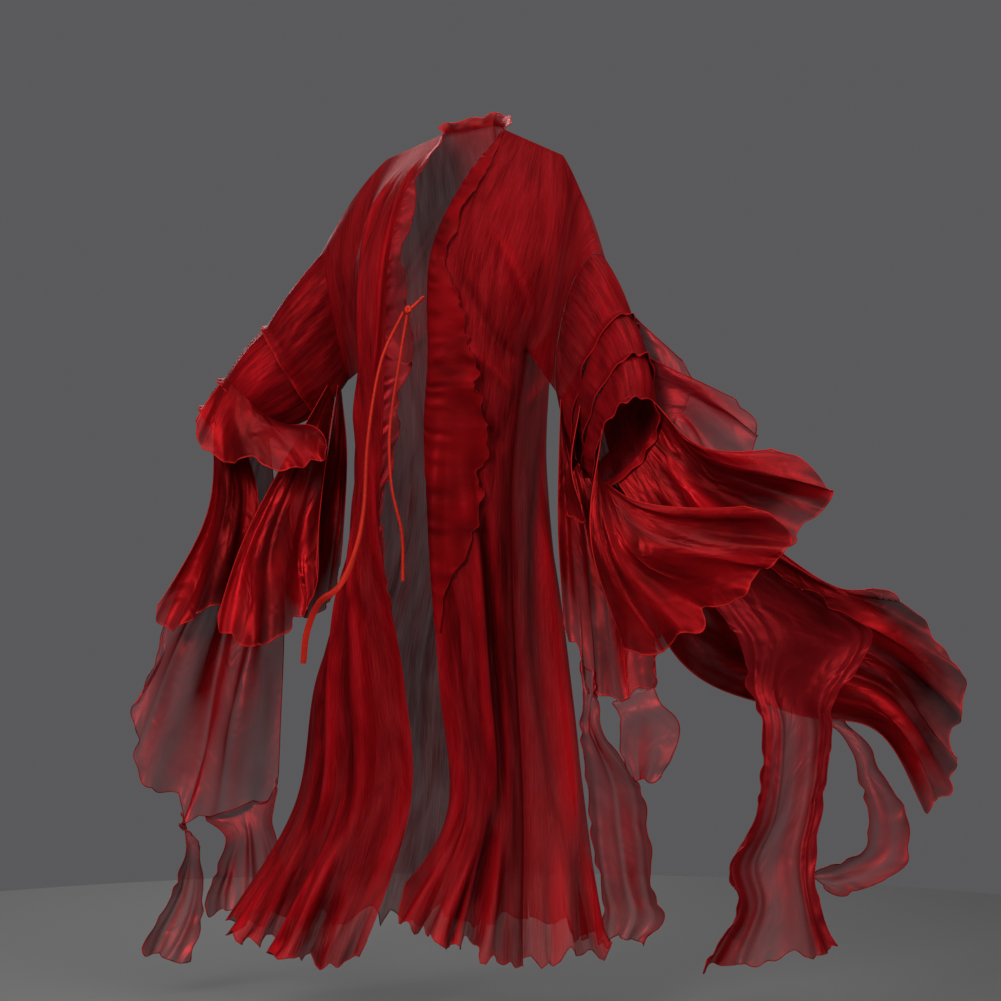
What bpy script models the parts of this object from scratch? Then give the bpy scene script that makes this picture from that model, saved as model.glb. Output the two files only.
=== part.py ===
# Sheer open-front hanfu robe, worn and blown sideways by a wind.
# The origin lies between the shoulders, at the base of the neck, where the wearer carries the robe.
# Front is -Y, the wearer's left is +X and +Z is up. Lengths are in metres.

import math

import bmesh
import bpy
from mathutils import Vector

# Driving sizes
CLOTH = 0.0016             # wall of every cloth piece
SEAM = 0.0003              # gap that parts two pieces at a seam
LAID = CLOTH + SEAM        # from a piece's middle to the middle of one that lies on it
SEATED = LAID + 0.0005     # the same, where the edge of one cuts across the other's corners
ROOTED = LAID + 0.0007     # the same, at a waved hem
DRAWN_BACK = 0.0018        # shoulder edge from its seam line, so that the sloping walls clear
SHARPEST = 0.2             # radians, half the least angle that a seam's walls are parted for
STEEPEST = 0.7             # slope of a hem's waves at most
WIND_TURN = 35             # degrees from +X to the way the wind blows
SLEEVE_SIDES = 16          # flats round a sleeve
TIER_ROWS = 2              # rows of flats along a sleeve tier
TIER_PUFF = 0.004          # how far a tier stands out between its seams
RIBBON_WIDE = 0.009
RIBBON_THICK = 0.0012
KNOT_RADIUS = 0.0065

# Rows of the body's panels
YOKE_ROWS = SLEEVE_SIDES // 2   # from the shoulder seam to the armpit
SKIRT_ROWS = 12                 # from the armpit to the hem
SLEEVE_COLUMNS = 4              # from the armhole to the first sleeve seam
FRONT_COLUMNS = 11
BACK_COLUMNS = 8
NECK_COLUMNS = 3                # of a back panel's columns, those along the neckline
ARMPIT = 3                      # the armpit's row in the panel tables

# Every table below gives places as down_wind, across_wind and height. Down wind is along the
# wind, across wind is square to it on the front's side, and height is above the neck's base.

# Front edge, a row for each level: shoulder, collar, chest, armpit, waist, hip, thigh, knee, hem
EDGE_LEFT = (
    (0.048, 0.030, -0.010), (-0.018, 0.072, -0.100), (-0.072, 0.105, -0.225),
    (-0.076, 0.112, -0.400), (-0.082, 0.108, -0.530), (-0.066, 0.112, -0.725),
    (-0.050, 0.115, -0.920), (-0.040, 0.120, -1.130), (-0.150, 0.130, -1.300))
EDGE_RIGHT = (
    (-0.052, -0.030, -0.010), (-0.108, 0.035, -0.100), (-0.140, 0.078, -0.225),
    (-0.147, 0.090, -0.385), (-0.150, 0.092, -0.530), (-0.155, 0.098, -0.700),
    (-0.115, 0.105, -0.920), (-0.105, 0.112, -1.130), (-0.195, 0.120, -1.395))

# Armhole and side seam, at the same levels
SIDE_LEFT = (
    (0.145, 0.090, -0.060), (0.152, 0.128, -0.150), (0.128, 0.138, -0.270),
    (0.086, 0.110, -0.380), (0.064, 0.105, -0.550), (0.062, 0.110, -0.725),
    (0.070, 0.110, -0.920), (0.080, 0.110, -1.130), (0.078, 0.112, -1.380))
SIDE_RIGHT = (
    (-0.150, -0.100, -0.045), (-0.178, -0.070, -0.140), (-0.186, -0.050, -0.260),
    (-0.165, -0.070, -0.380), (-0.162, -0.060, -0.550), (-0.190, -0.045, -0.725),
    (-0.265, -0.020, -0.920), (-0.300, 0.000, -1.130), (-0.410, 0.030, -1.320))
BACK_ARMHOLE_LEFT = ((0.178, 0.050, -0.150), (0.165, 0.045, -0.270))
BACK_ARMHOLE_RIGHT = ((-0.165, -0.155, -0.140), (-0.165, -0.150, -0.260))

# Centre back seam, at the same levels
CENTRE_BACK = (
    (0.030, -0.050, 0.008), (0.045, -0.075, -0.100), (0.055, -0.092, -0.220),
    (0.060, -0.100, -0.380), (0.060, -0.100, -0.550), (0.065, -0.100, -0.725),
    (0.075, -0.100, -0.920), (0.085, -0.100, -1.130), (0.090, -0.100, -1.340))

# How far each panel rounds out between its two edges, at the same levels
ROUND_FRONT_LEFT = (0.000, 0.012, 0.020, 0.026, 0.024, 0.030, 0.036, 0.042, 0.045)
ROUND_FRONT_RIGHT = (0.000, 0.030, 0.060, 0.068, 0.066, 0.068, 0.060, 0.050, 0.045)
ROUND_BACK_LEFT = (0.000, 0.030, 0.046, 0.052, 0.055, 0.068, 0.080, 0.098, 0.125)
ROUND_BACK_RIGHT = (0.000, 0.022, 0.040, 0.050, 0.050, 0.058, 0.060, 0.060, 0.060)

# Sleeve seams: top of the ring, bottom of the ring, half its width
RINGS_LEFT = (
    ((0.198, 0.240, -0.232), (0.138, 0.160, -0.458), 0.034),
    ((0.240, 0.290, -0.329), (0.160, 0.250, -0.537), 0.036),
    ((0.261, 0.340, -0.396), (0.176, 0.310, -0.577), 0.038),
    ((0.265, 0.390, -0.468), (0.196, 0.370, -0.593), 0.038))
RINGS_RIGHT = (
    ((-0.258, -0.100, -0.199), (-0.215, -0.100, -0.420), 0.040),
    ((-0.354, -0.110, -0.326), (-0.265, -0.110, -0.471), 0.040),
    ((-0.426, -0.120, -0.416), (-0.322, -0.120, -0.500), 0.040),
    ((-0.459, -0.130, -0.462), (-0.394, -0.130, -0.535), 0.038))

# Flounces, a row for each fold: angle round the sleeve from its top over the back, then one to
# three places along the fold and the fold's end at the hem
FLOUNCE_LEFT_ELBOW = (
    (20, (0.298, 0.285, -0.380), (0.346, 0.262, -0.433)),
    (50, (0.295, 0.290, -0.402), (0.336, 0.280, -0.475)),
    (75, (0.288, 0.292, -0.430), (0.312, 0.296, -0.508)),
    (100, (0.276, 0.288, -0.460), (0.285, 0.300, -0.532)),
    (125, (0.255, 0.270, -0.495), (0.262, 0.290, -0.550)))
FLOUNCE_LEFT_FOREARM = (
    (20, (0.345, 0.340, -0.440), (0.428, 0.325, -0.492)),
    (50, (0.342, 0.345, -0.462), (0.440, 0.340, -0.533)),
    (75, (0.328, 0.350, -0.487), (0.398, 0.352, -0.572)),
    (100, (0.310, 0.345, -0.512), (0.345, 0.358, -0.590)),
    (125, (0.285, 0.332, -0.542), (0.300, 0.346, -0.600)))
FLOUNCE_LEFT_CUFF = (
    (15, (0.355, 0.402, -0.545), (0.500, 0.380, -0.556)),
    (40, (0.372, 0.408, -0.572), (0.548, 0.382, -0.620)),
    (65, (0.362, 0.410, -0.605), (0.505, 0.392, -0.673)),
    (90, (0.335, 0.408, -0.635), (0.420, 0.400, -0.724)),
    (115, (0.300, 0.400, -0.655), (0.338, 0.392, -0.778)),
    (140, (0.255, 0.390, -0.660), (0.262, 0.382, -0.794)))
FLOUNCE_LEFT_CUFF_NEAR = (
    (169, (0.270, 0.440, -0.630), (0.460, 0.450, -0.636)),
    (189, (0.285, 0.455, -0.660), (0.478, 0.462, -0.692)),
    (209, (0.270, 0.464, -0.690), (0.442, 0.470, -0.732)),
    (229, (0.240, 0.466, -0.706), (0.367, 0.466, -0.790)),
    (249, (0.208, 0.458, -0.704), (0.298, 0.456, -0.848)),
    (269, (0.180, 0.442, -0.684), (0.236, 0.436, -0.862)))
FLOUNCE_LEFT_INNER = (
    (180, (0.146, 0.285, -0.595), (0.137, 0.300, -0.626)),
    (205, (0.142, 0.320, -0.600), (0.148, 0.330, -0.652)),
    (230, (0.145, 0.350, -0.595), (0.164, 0.362, -0.658)),
    (255, (0.152, 0.372, -0.575), (0.176, 0.392, -0.655)))
FLOUNCE_LEFT_UNDER = (
    (228, (0.134, 0.235, -0.670), (0.146, 0.250, -0.849)),
    (216, (0.162, 0.250, -0.690), (0.172, 0.270, -0.885)),
    (204, (0.190, 0.262, -0.705), (0.203, 0.290, -0.923)),
    (192, (0.220, 0.274, -0.705), (0.240, 0.310, -0.937)),
    (180, (0.246, 0.282, -0.690), (0.275, 0.326, -0.898)),
    (168, (0.262, 0.286, -0.665), (0.290, 0.338, -0.805)))
WING_LEFT = (
    (80, (0.400, 0.228, -0.630), (0.500, 0.214, -0.715), (0.582, 0.206, -0.765), (0.658, 0.200, -0.763)),
    (86, (0.390, 0.225, -0.660), (0.525, 0.211, -0.755), (0.640, 0.200, -0.800), (0.758, 0.178, -0.860)),
    (92, (0.380, 0.222, -0.690), (0.520, 0.208, -0.785), (0.660, 0.194, -0.845), (0.790, 0.160, -0.945)),
    (99, (0.370, 0.220, -0.725), (0.515, 0.205, -0.820), (0.665, 0.190, -0.888), (0.783, 0.150, -1.010)),
    (106, (0.355, 0.218, -0.760), (0.510, 0.202, -0.860), (0.665, 0.186, -0.925), (0.772, 0.148, -1.065)),
    (113, (0.335, 0.216, -0.800), (0.505, 0.198, -0.908), (0.658, 0.184, -0.960), (0.757, 0.148, -1.105)),
    (120, (0.310, 0.214, -0.855), (0.500, 0.192, -0.962), (0.648, 0.184, -0.995), (0.737, 0.150, -1.142)))
FLOUNCE_RIGHT_FOREARM = (
    (345, (-0.462, -0.080, -0.468), (-0.484, -0.060, -0.515)),
    (320, (-0.440, -0.060, -0.485), (-0.456, -0.034, -0.535)),
    (290, (-0.402, -0.050, -0.502), (-0.396, -0.010, -0.560)),
    (260, (-0.352, -0.045, -0.512), (-0.322, 0.000, -0.572)),
    (235, (-0.305, -0.046, -0.514), (-0.268, -0.005, -0.562)),
    (210, (-0.272, -0.058, -0.500), (-0.238, -0.024, -0.536)))
FLOUNCE_RIGHT_CUFF = (
    (290, (-0.458, -0.105, -0.650), (-0.556, -0.095, -0.842)),
    (270, (-0.440, -0.098, -0.665), (-0.505, -0.088, -0.836)),
    (240, (-0.418, -0.095, -0.660), (-0.455, -0.085, -0.815)),
    (210, (-0.394, -0.100, -0.645), (-0.408, -0.088, -0.790)),
    (185, (-0.370, -0.106, -0.620), (-0.372, -0.096, -0.750)))
FLOUNCE_RIGHT_INNER = (
    (222, (-0.385, -0.048, -0.680), (-0.433, -0.010, -0.840)),
    (202, (-0.358, -0.038, -0.692), (-0.381, 0.006, -0.871)),
    (212, (-0.325, -0.032, -0.692), (-0.328, 0.010, -0.856)),
    (192, (-0.290, -0.038, -0.675), (-0.285, -0.002, -0.806)),
    (182, (-0.262, -0.055, -0.650), (-0.262, -0.026, -0.772)))
FLOUNCE_RIGHT_UNDER = (
    (206, (-0.262, -0.116, -0.600), (-0.318, -0.100, -0.800)),
    (196, (-0.246, -0.116, -0.600), (-0.288, -0.095, -0.826)),
    (186, (-0.232, -0.118, -0.580), (-0.255, -0.100, -0.806)),
    (176, (-0.220, -0.122, -0.555), (-0.230, -0.112, -0.750)))
WING_RIGHT = (
    (112, (-0.492, -0.175, -0.730), (-0.557, -0.180, -0.887)),
    (122, (-0.482, -0.172, -0.772), (-0.588, -0.170, -0.968)),
    (132, (-0.462, -0.168, -0.805), (-0.578, -0.160, -1.080)),
    (142, (-0.438, -0.164, -0.825), (-0.535, -0.152, -1.132)),
    (152, (-0.408, -0.162, -0.832), (-0.482, -0.145, -1.178)),
    (162, (-0.370, -0.162, -0.828), (-0.406, -0.140, -1.150)),
    (172, (-0.330, -0.160, -0.800), (-0.338, -0.138, -1.130)))

# Streamers, a row for each section down the piece: its one side, its other side, its hollow
STREAMER_LEFT = (
    ((0.312, 0.325, -0.671), (0.425, 0.330, -0.706), 0.010),
    ((0.361, 0.318, -0.765), (0.576, 0.318, -0.799), 0.022),
    ((0.415, 0.315, -0.843), (0.623, 0.310, -0.843), 0.030),
    ((0.429, 0.320, -0.913), (0.567, 0.310, -0.937), 0.040),
    ((0.451, 0.330, -0.988), (0.561, 0.305, -0.992), 0.042),
    ((0.439, 0.335, -1.120), (0.548, 0.300, -1.093), 0.038),
    ((0.400, 0.325, -1.200), (0.536, 0.305, -1.180), 0.034),
    ((0.414, 0.310, -1.265), (0.541, 0.318, -1.262), 0.030),
    ((0.354, 0.300, -1.367), (0.575, 0.325, -1.327), 0.026))
STREAMER_WING = (
    ((0.596, 0.200, -1.012), (0.634, 0.195, -1.018), 0.006),
    ((0.612, 0.218, -1.060), (0.650, 0.208, -1.060), 0.012),
    ((0.630, 0.232, -1.137), (0.690, 0.212, -1.128), 0.016),
    ((0.618, 0.228, -1.184), (0.690, 0.215, -1.200), 0.014),
    ((0.572, 0.222, -1.206), (0.606, 0.222, -1.250), 0.010),
    ((0.540, 0.218, -1.220), (0.545, 0.222, -1.240), 0.004))
STREAMER_LEFT_INNER = (
    ((0.172, 0.292, -0.945), (0.199, 0.296, -0.945), 0.006),
    ((0.167, 0.298, -0.985), (0.202, 0.302, -0.985), 0.010),
    ((0.177, 0.300, -1.050), (0.262, 0.306, -1.080), 0.020),
    ((0.184, 0.300, -1.143), (0.274, 0.306, -1.143), 0.024),
    ((0.200, 0.300, -1.222), (0.278, 0.304, -1.222), 0.022),
    ((0.205, 0.298, -1.277), (0.295, 0.302, -1.279), 0.020),
    ((0.209, 0.296, -1.313), (0.265, 0.300, -1.321), 0.014))
PETAL_LEFT = (
    ((0.222, 0.345, -0.955), (0.290, 0.352, -0.935), 0.004),
    ((0.226, 0.350, -0.985), (0.318, 0.358, -0.965), 0.010),
    ((0.231, 0.352, -1.018), (0.308, 0.360, -1.020), 0.012),
    ((0.247, 0.350, -1.060), (0.278, 0.354, -1.071), 0.006))
STREAMER_RIGHT = (
    ((-0.497, -0.142, -1.215), (-0.475, -0.144, -1.222), 0.006),
    ((-0.508, -0.152, -1.260), (-0.470, -0.156, -1.285), 0.012),
    ((-0.530, -0.150, -1.320), (-0.472, -0.154, -1.345), 0.016),
    ((-0.565, -0.148, -1.376), (-0.480, -0.150, -1.390), 0.012),
    ((-0.576, -0.146, -1.397), (-0.502, -0.148, -1.428), 0.006))
STREAMER_RIGHT_INNER = (
    ((-0.430, -0.118, -1.200), (-0.345, -0.110, -1.180), 0.014),
    ((-0.440, -0.114, -1.250), (-0.330, -0.108, -1.240), 0.018),
    ((-0.455, -0.112, -1.295), (-0.322, -0.106, -1.285), 0.016),
    ((-0.462, -0.112, -1.332), (-0.326, -0.106, -1.316), 0.010))

# Ribbon routes, through points chosen by hand
TIE_ACROSS = ((-0.0818, 0.1095, -0.292), (-0.090, 0.128, -0.302), (-0.1018, 0.1387, -0.3132))
TIE_KNOT = (-0.1075, 0.1395, -0.3165)
TIE_SHORT = ((-0.1090, 0.1400, -0.3245), (-0.122, 0.141, -0.400), (-0.136, 0.142, -0.510),
             (-0.134, 0.143, -0.600), (-0.118, 0.143, -0.680), (-0.115, 0.143, -0.755))
TIE_LONG = ((-0.1150, 0.1410, -0.3195), (-0.150, 0.150, -0.400), (-0.172, 0.156, -0.520),
            (-0.178, 0.160, -0.640), (-0.192, 0.162, -0.712), (-0.220, 0.158, -0.765),
            (-0.252, 0.142, -0.792), (-0.272, 0.130, -0.840), (-0.278, 0.122, -0.890))


def wind(place):
    """World position of a place in the tables."""
    down, across, height = place
    turn = math.radians(WIND_TURN)
    x = down * math.cos(turn) + across * math.sin(turn)
    y = down * math.sin(turn) - across * math.cos(turn)
    return Vector((x, y, height))


def spline(points, at):
    """Smooth curve through points, at 0 on the first and 1 more on each that follows."""
    last = len(points) - 1
    start = max(0, min(int(at), last - 1))
    part = at - start
    here = points[start]
    there = points[start + 1]
    before = points[start - 1] if start > 0 else here * 2 - there
    after = points[start + 2] if start + 2 <= last else there * 2 - here
    slope_here = (there - before) / 2
    slope_there = (after - here) / 2
    square = part * part
    cube = square * part
    return (here * (2 * cube - 3 * square + 1) + slope_here * (cube - 2 * square + part)
            + there * (3 * square - 2 * cube) + slope_there * (cube - square))


def between(here, there, part):
    return here + (there - here) * part


def arch(part):
    return 4 * part * (1 - part)


def on(grid, column, row):
    """Point of a piece's own facets at a broken column and row."""
    left = int(column)
    top = int(row)
    if (left, top + 1) not in grid:
        top -= 1
    if (left + 1, top + 1) not in grid:
        left -= 1
    upper = between(grid[left, top], grid[left + 1, top], column - left)
    lower = between(grid[left, top + 1], grid[left + 1, top + 1], column - left)
    return between(upper, lower, row - top)


def facing(grid, column, row, outward):
    """Unit vector square to a piece at a column and row, on the side of outward."""
    step = 0.25
    columns = max(key[0] for key in grid)
    rows = max(key[1] for key in grid)
    along = on(grid, min(column + step, columns), row) - on(grid, max(column - step, 0), row)
    down = on(grid, column, min(row + step, rows)) - on(grid, column, max(row - step, 0))
    square = along.cross(down).normalized()
    return square if square.dot(outward) > 0 else -square


def square_to(grid, column, row, columns, rows):
    """Unit vector square to a grid of points at one of its points."""
    along = grid[min(column + 1, columns), row] - grid[max(column - 1, 0), row]
    down = grid[column, min(row + 1, rows)] - grid[column, max(row - 1, 0)]
    return along.cross(down).normalized()


def pull_in(grid, edge):
    """Draw edge points back from a seam, each towards its neighbour inside the piece."""
    moved = {}
    for kept, neighbour in edge:
        inward = (grid[neighbour] - grid[kept]).normalized()
        moved[kept] = grid[kept] + inward * DRAWN_BACK
    grid.update(moved)


def part_seam(one, one_edge, other, other_edge):
    """Draw two pieces back from their common seam, more where their walls meet at an angle."""
    moves = []
    for (kept, neighbour), (far_kept, far_neighbour) in zip(one_edge, other_edge):
        inward = (one[neighbour] - one[kept]).normalized()
        far_inward = (other[far_neighbour] - other[far_kept]).normalized()
        half_angle = max(inward.angle(far_inward) / 2, SHARPEST)
        amount = SEAM + CLOTH / 2 / math.tan(half_angle)
        moves.append((one, kept, inward * amount))
        moves.append((other, far_kept, far_inward * amount))
    for grid, key, move in moves:
        grid[key] = grid[key] + move


def cloth(name, grid, colour, closed=False, thick=CLOTH):
    """A piece of cloth: a grid primitive moved to the points, with a wall from Solidify."""
    columns = max(key[0] for key in grid)
    rows = max(key[1] for key in grid)
    mesh = bpy.data.meshes.new(name)
    shape = bmesh.new()
    bmesh.ops.create_grid(shape, x_segments=columns, y_segments=rows, size=0.5)
    outside = []
    for vertex in shape.verts:
        key = (round((vertex.co.x + 0.5) * columns), round((vertex.co.y + 0.5) * rows))
        if key in grid:
            vertex.co = grid[key]
        else:
            outside.append(vertex)
    bmesh.ops.delete(shape, geom=outside, context='VERTS')
    if closed:
        bmesh.ops.remove_doubles(shape, verts=shape.verts, dist=0.00005)
    bmesh.ops.recalc_face_normals(shape, faces=shape.faces)
    shape.to_mesh(mesh)
    shape.free()
    piece = bpy.data.objects.new(name, mesh)
    robe.objects.link(piece)
    wall = piece.modifiers.new("wall", 'SOLIDIFY')
    wall.thickness = thick
    wall.offset = 0
    wall.use_even_offset = True
    piece.data.materials.append(dyed(name, colour))
    return piece


def dyed(name, colour):
    material = bpy.data.materials.new(name)
    material.use_nodes = True
    surface = material.node_tree.nodes["Principled BSDF"]
    surface.inputs["Base Color"].default_value = (*colour, 1)
    surface.inputs["Roughness"].default_value = 0.55
    surface.inputs["Metallic"].default_value = 0
    return material


def level(row):
    """Row of the panel tables at a row of a panel's grid."""
    if row <= YOKE_ROWS:
        return ARMPIT * row / YOKE_ROWS
    return ARMPIT + (len(CENTRE_BACK) - 1 - ARMPIT) * (row - YOKE_ROWS) / SKIRT_ROWS


def seam_at(places, at):
    """Point of a seam at a level. It may turn a corner at the armpit."""
    points = [wind(place) for place in places]
    if at <= ARMPIT:
        return spline(points[:ARMPIT + 1], at)
    return spline(points[ARMPIT:], at - ARMPIT)


def roundness(values, at):
    low = min(int(at), len(values) - 2)
    return values[low] + (values[low + 1] - values[low]) * (at - low)


def ring(rings, arm, angle):
    """Point of a sleeve seam's ring. The angle runs from the top over the back."""
    top, bottom, half = rings[arm]
    top = wind(top)
    bottom = wind(bottom)
    centre = (top + bottom) / 2
    rise = top - centre
    first = min(arm, len(rings) - 2)
    ahead = wind(rings[first + 1][0]) + wind(rings[first + 1][1])
    behind = wind(rings[first][0]) + wind(rings[first][1])
    back = (ahead - behind).cross(rise).normalized()
    if back.y < 0:
        back = -back
    turn = math.radians(angle)
    fullness = 1 + 0.25 * math.cos(turn)
    return centre + rise * math.cos(turn) + back * half * fullness * math.sin(turn)


def ring_centre(rings, arm):
    return (wind(rings[arm][0]) + wind(rings[arm][1])) / 2


def neck_drop(part, centre, neck, tip):
    """From the straight line centre to tip, to a line that goes by way of the neck."""
    turn = NECK_COLUMNS / BACK_COLUMNS
    if part < turn:
        bent = between(centre, neck, part / turn)
    else:
        bent = between(neck, tip, (part - turn) / (1 - turn))
    return bent - between(centre, tip, part)


def panel(edge, side, rounding, outward, columns, rings, over_back, folds, neck=None):
    """L-shaped grid of a body panel, cut in one with half of the upper sleeve."""
    grid = {}
    rows = YOKE_ROWS + SKIRT_ROWS
    for row in range(rows + 1):
        at = level(row)
        inner = seam_at(edge, at)
        outer = seam_at(side, at)
        bow = roundness(rounding, at)
        count, depth, start = folds
        for column in range(columns + 1):
            part = column / columns
            fold = depth * max(0, at - 1) / 7 * math.sin(2 * math.pi * (count * part + start))
            out = (bow + fold) * arch(part)
            grid[column, row] = between(inner, outer, part) + outward * out
            if neck and row < YOKE_ROWS:
                fade = (1 - row / YOKE_ROWS) ** 2
                dropped = neck_drop(part, wind(edge[0]), wind(neck), wind(side[0]))
                grid[column, row] += dropped * fade
        if row > YOKE_ROWS:
            continue
        angle = 180 * row / YOKE_ROWS
        angle = angle if over_back else 360 - angle
        wrist_side = ring(rings, 0, angle)
        away = (wrist_side - ring_centre(rings, 0)).normalized()
        puff = 0.012 * (1 + math.cos(math.radians(angle))) / 2
        for step in range(1, SLEEVE_COLUMNS + 1):
            part = step / SLEEVE_COLUMNS
            reach = between(outer, wrist_side, part)
            grid[columns + step, row] = reach + away * puff * arch(part)
    return grid


def shoulder_edge(columns):
    return [((column, 0), (column, 1)) for column in range(columns + 1)]


def sleeve_top_edge(columns):
    wide = columns + SLEEVE_COLUMNS
    return [((column, 0), (column, 1)) for column in range(columns, wide + 1)]


def underarm_edge(columns):
    wide = columns + SLEEVE_COLUMNS
    return [((column, YOKE_ROWS), (column, YOKE_ROWS - 1)) for column in range(columns, wide + 1)]


def side_edge(columns):
    rows = range(YOKE_ROWS, YOKE_ROWS + SKIRT_ROWS + 1)
    return [((columns, row), (columns - 1, row)) for row in rows]


def centre_edge():
    return [((0, row), (1, row)) for row in range(YOKE_ROWS + SKIRT_ROWS + 1)]


def part_panels(front, back):
    """Part a front from its back along the shoulder, underarm and side seams."""
    part_seam(front, sleeve_top_edge(FRONT_COLUMNS), back, sleeve_top_edge(BACK_COLUMNS))
    part_seam(front, underarm_edge(FRONT_COLUMNS), back, underarm_edge(BACK_COLUMNS))
    part_seam(front, side_edge(FRONT_COLUMNS), back, side_edge(BACK_COLUMNS))
    pull_in(front, shoulder_edge(FRONT_COLUMNS))
    pull_in(back, shoulder_edge(BACK_COLUMNS))


def ring_inside(rings, arm, inset):
    """Corners of a sleeve seam's ring, each flat drawn in towards the arm by inset."""
    corners = [ring(rings, arm, 360 * side / SLEEVE_SIDES) for side in range(SLEEVE_SIDES)]
    centre = ring_centre(rings, arm)
    drawn = []
    for side, corner in enumerate(corners):
        before = (corner - corners[side - 1]).normalized()
        after = (corners[(side + 1) % SLEEVE_SIDES] - corner).normalized()
        inward = (after - before).normalized()
        if inward.dot(centre - corner) < 0:
            inward = -inward
        mitre = math.sqrt((1 + before.dot(after)) / 2)
        drawn.append(corner + inward * inset / mitre)
    return drawn + drawn[:1]


def sleeve_tier(rings, number):
    """Grid of one sleeve tier, a closed tube from one seam's ring to the next."""
    grid = {}
    start = ring_inside(rings, number, 1.15 * LAID)
    end = ring_inside(rings, number + 1, 0)
    for row in range(TIER_ROWS + 1):
        part = row / TIER_ROWS
        middle = between(ring_centre(rings, number), ring_centre(rings, number + 1), part)
        for side in range(SLEEVE_SIDES + 1):
            point = between(start[side], end[side], part)
            away = (point - middle).normalized()
            grid[side, row] = point + away * TIER_PUFF * arch(part)
    return grid


def seat(tier, rings, number, part, angle):
    """Point that lies on a sleeve tier, out from its wall by a seam's gap."""
    column = SLEEVE_SIDES * (angle % 360) / 360
    row = TIER_ROWS * part
    middle = between(ring_centre(rings, number), ring_centre(rings, number + 1), part)
    point = on(tier, column, row)
    return point + facing(tier, column, row, point - middle) * SEATED


def ruffle(grid, columns, rows, waves, height):
    """Wave a piece towards its last row, square to its surface, and less where it is narrow."""
    flat = dict(grid)
    for column in range(columns + 1):
        left = max(column - 1, 0)
        right = min(column + 1, columns)
        for row in range(1, rows + 1):
            part = row / rows
            wave = math.sin(2 * math.pi * waves * column / columns)
            along = flat[right, row] - flat[left, row]
            down = flat[column, row] - flat[column, row - 1]
            spacing = (along - along.project(down)).length / (right - left)
            most = STEEPEST * spacing * columns / (2 * math.pi * waves)
            out = min(height, most) * part ** 3 * wave
            grid[column, row] = flat[column, row] + square_to(flat, column, row, columns, rows) * out


def flounce(table, tier, rings, number, part, columns, rows, waves, height):
    """Grid of a flounce, from its seat on a sleeve tier to its waved hem."""
    grid = {}
    for row in range(rows + 1):
        down = row / rows
        folds = []
        for angle, *places in table:
            root = seat(tier, rings, number, part, angle)
            folds.append(spline([root] + [wind(place) for place in places], len(places) * down))
        for column in range(columns + 1):
            at = (len(table) - 1) * column / columns
            if row == 0:
                low = min(int(at), len(table) - 2)
                angle = table[low][0] + (table[low + 1][0] - table[low][0]) * (at - low)
                grid[column, row] = seat(tier, rings, number, part, angle)
            else:
                grid[column, row] = spline(folds, at)
    ruffle(grid, columns, rows, waves, height)
    return grid


def streamer(table, root, columns, rows, waves, height):
    """Grid of a streamer, from a row of root points down through its sections."""
    sides = [[root[0]] + [wind(row[0]) for row in table], [root[-1]] + [wind(row[1]) for row in table]]
    hollows = [Vector((0, 0, 0))] + [wind((0, row[2], 0)) for row in table]
    grid = {}
    for row in range(rows + 1):
        at = len(table) * row / rows
        one = spline(sides[0], at)
        other = spline(sides[1], at)
        hollow = spline(hollows, at)
        for column in range(columns + 1):
            part = column / columns
            grid[column, row] = between(one, other, part) - hollow * arch(part)
    for column in range(columns + 1):
        grid[column, 0] = root[column]
    ruffle(grid, columns, rows, waves, height)
    return grid


def hem_root(grid, outward, first, last):
    """Points along a carrier's hem, a seam's gap out from its wall, from column to column."""
    hem = max(key[1] for key in grid)
    step = 1 if last > first else -1
    points = []
    for column in range(first, last + step, step):
        points.append(grid[column, hem] + facing(grid, column, hem, outward) * ROOTED)
    return points


def side_root(grid, rows):
    """Points just past a carrier's last column, in line with its wall, at broken rows."""
    side = max(key[0] for key in grid)
    points = []
    for row in rows:
        edge = on(grid, side, row)
        along = edge - on(grid, side, row - 0.5)
        outward = edge - on(grid, side - 0.5, row)
        points.append(edge + (outward - outward.project(along)).normalized() * 2 * SEAM)
    return points


def ribbon(name, route, colour):
    """A flat ribbon along a route, its width lying across the route and the wind's cross axis."""
    points = [wind(place) for place in route]
    count = 4 * (len(points) - 1)
    facing_out = wind((0, 1, 0))
    grid = {}
    for row in range(count + 1):
        at = (len(points) - 1) * row / count
        point = spline(points, at)
        ahead = spline(points, min(at + 0.1, len(points) - 1))
        behind = spline(points, max(at - 0.1, 0))
        wide = (ahead - behind).cross(facing_out).normalized()
        grid[0, row] = point - wide * RIBBON_WIDE / 2
        grid[1, row] = point + wide * RIBBON_WIDE / 2
    return cloth(name, grid, colour, thick=RIBBON_THICK)


RED = (0.30, 0.006, 0.016)
DARK_RED = (0.20, 0.004, 0.012)
ORANGE_RED = (0.72, 0.04, 0.02)

for old in list(bpy.data.objects):
    bpy.data.objects.remove(old)
robe = bpy.data.collections.new("hanfu_robe")
bpy.context.scene.collection.children.link(robe)

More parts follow.
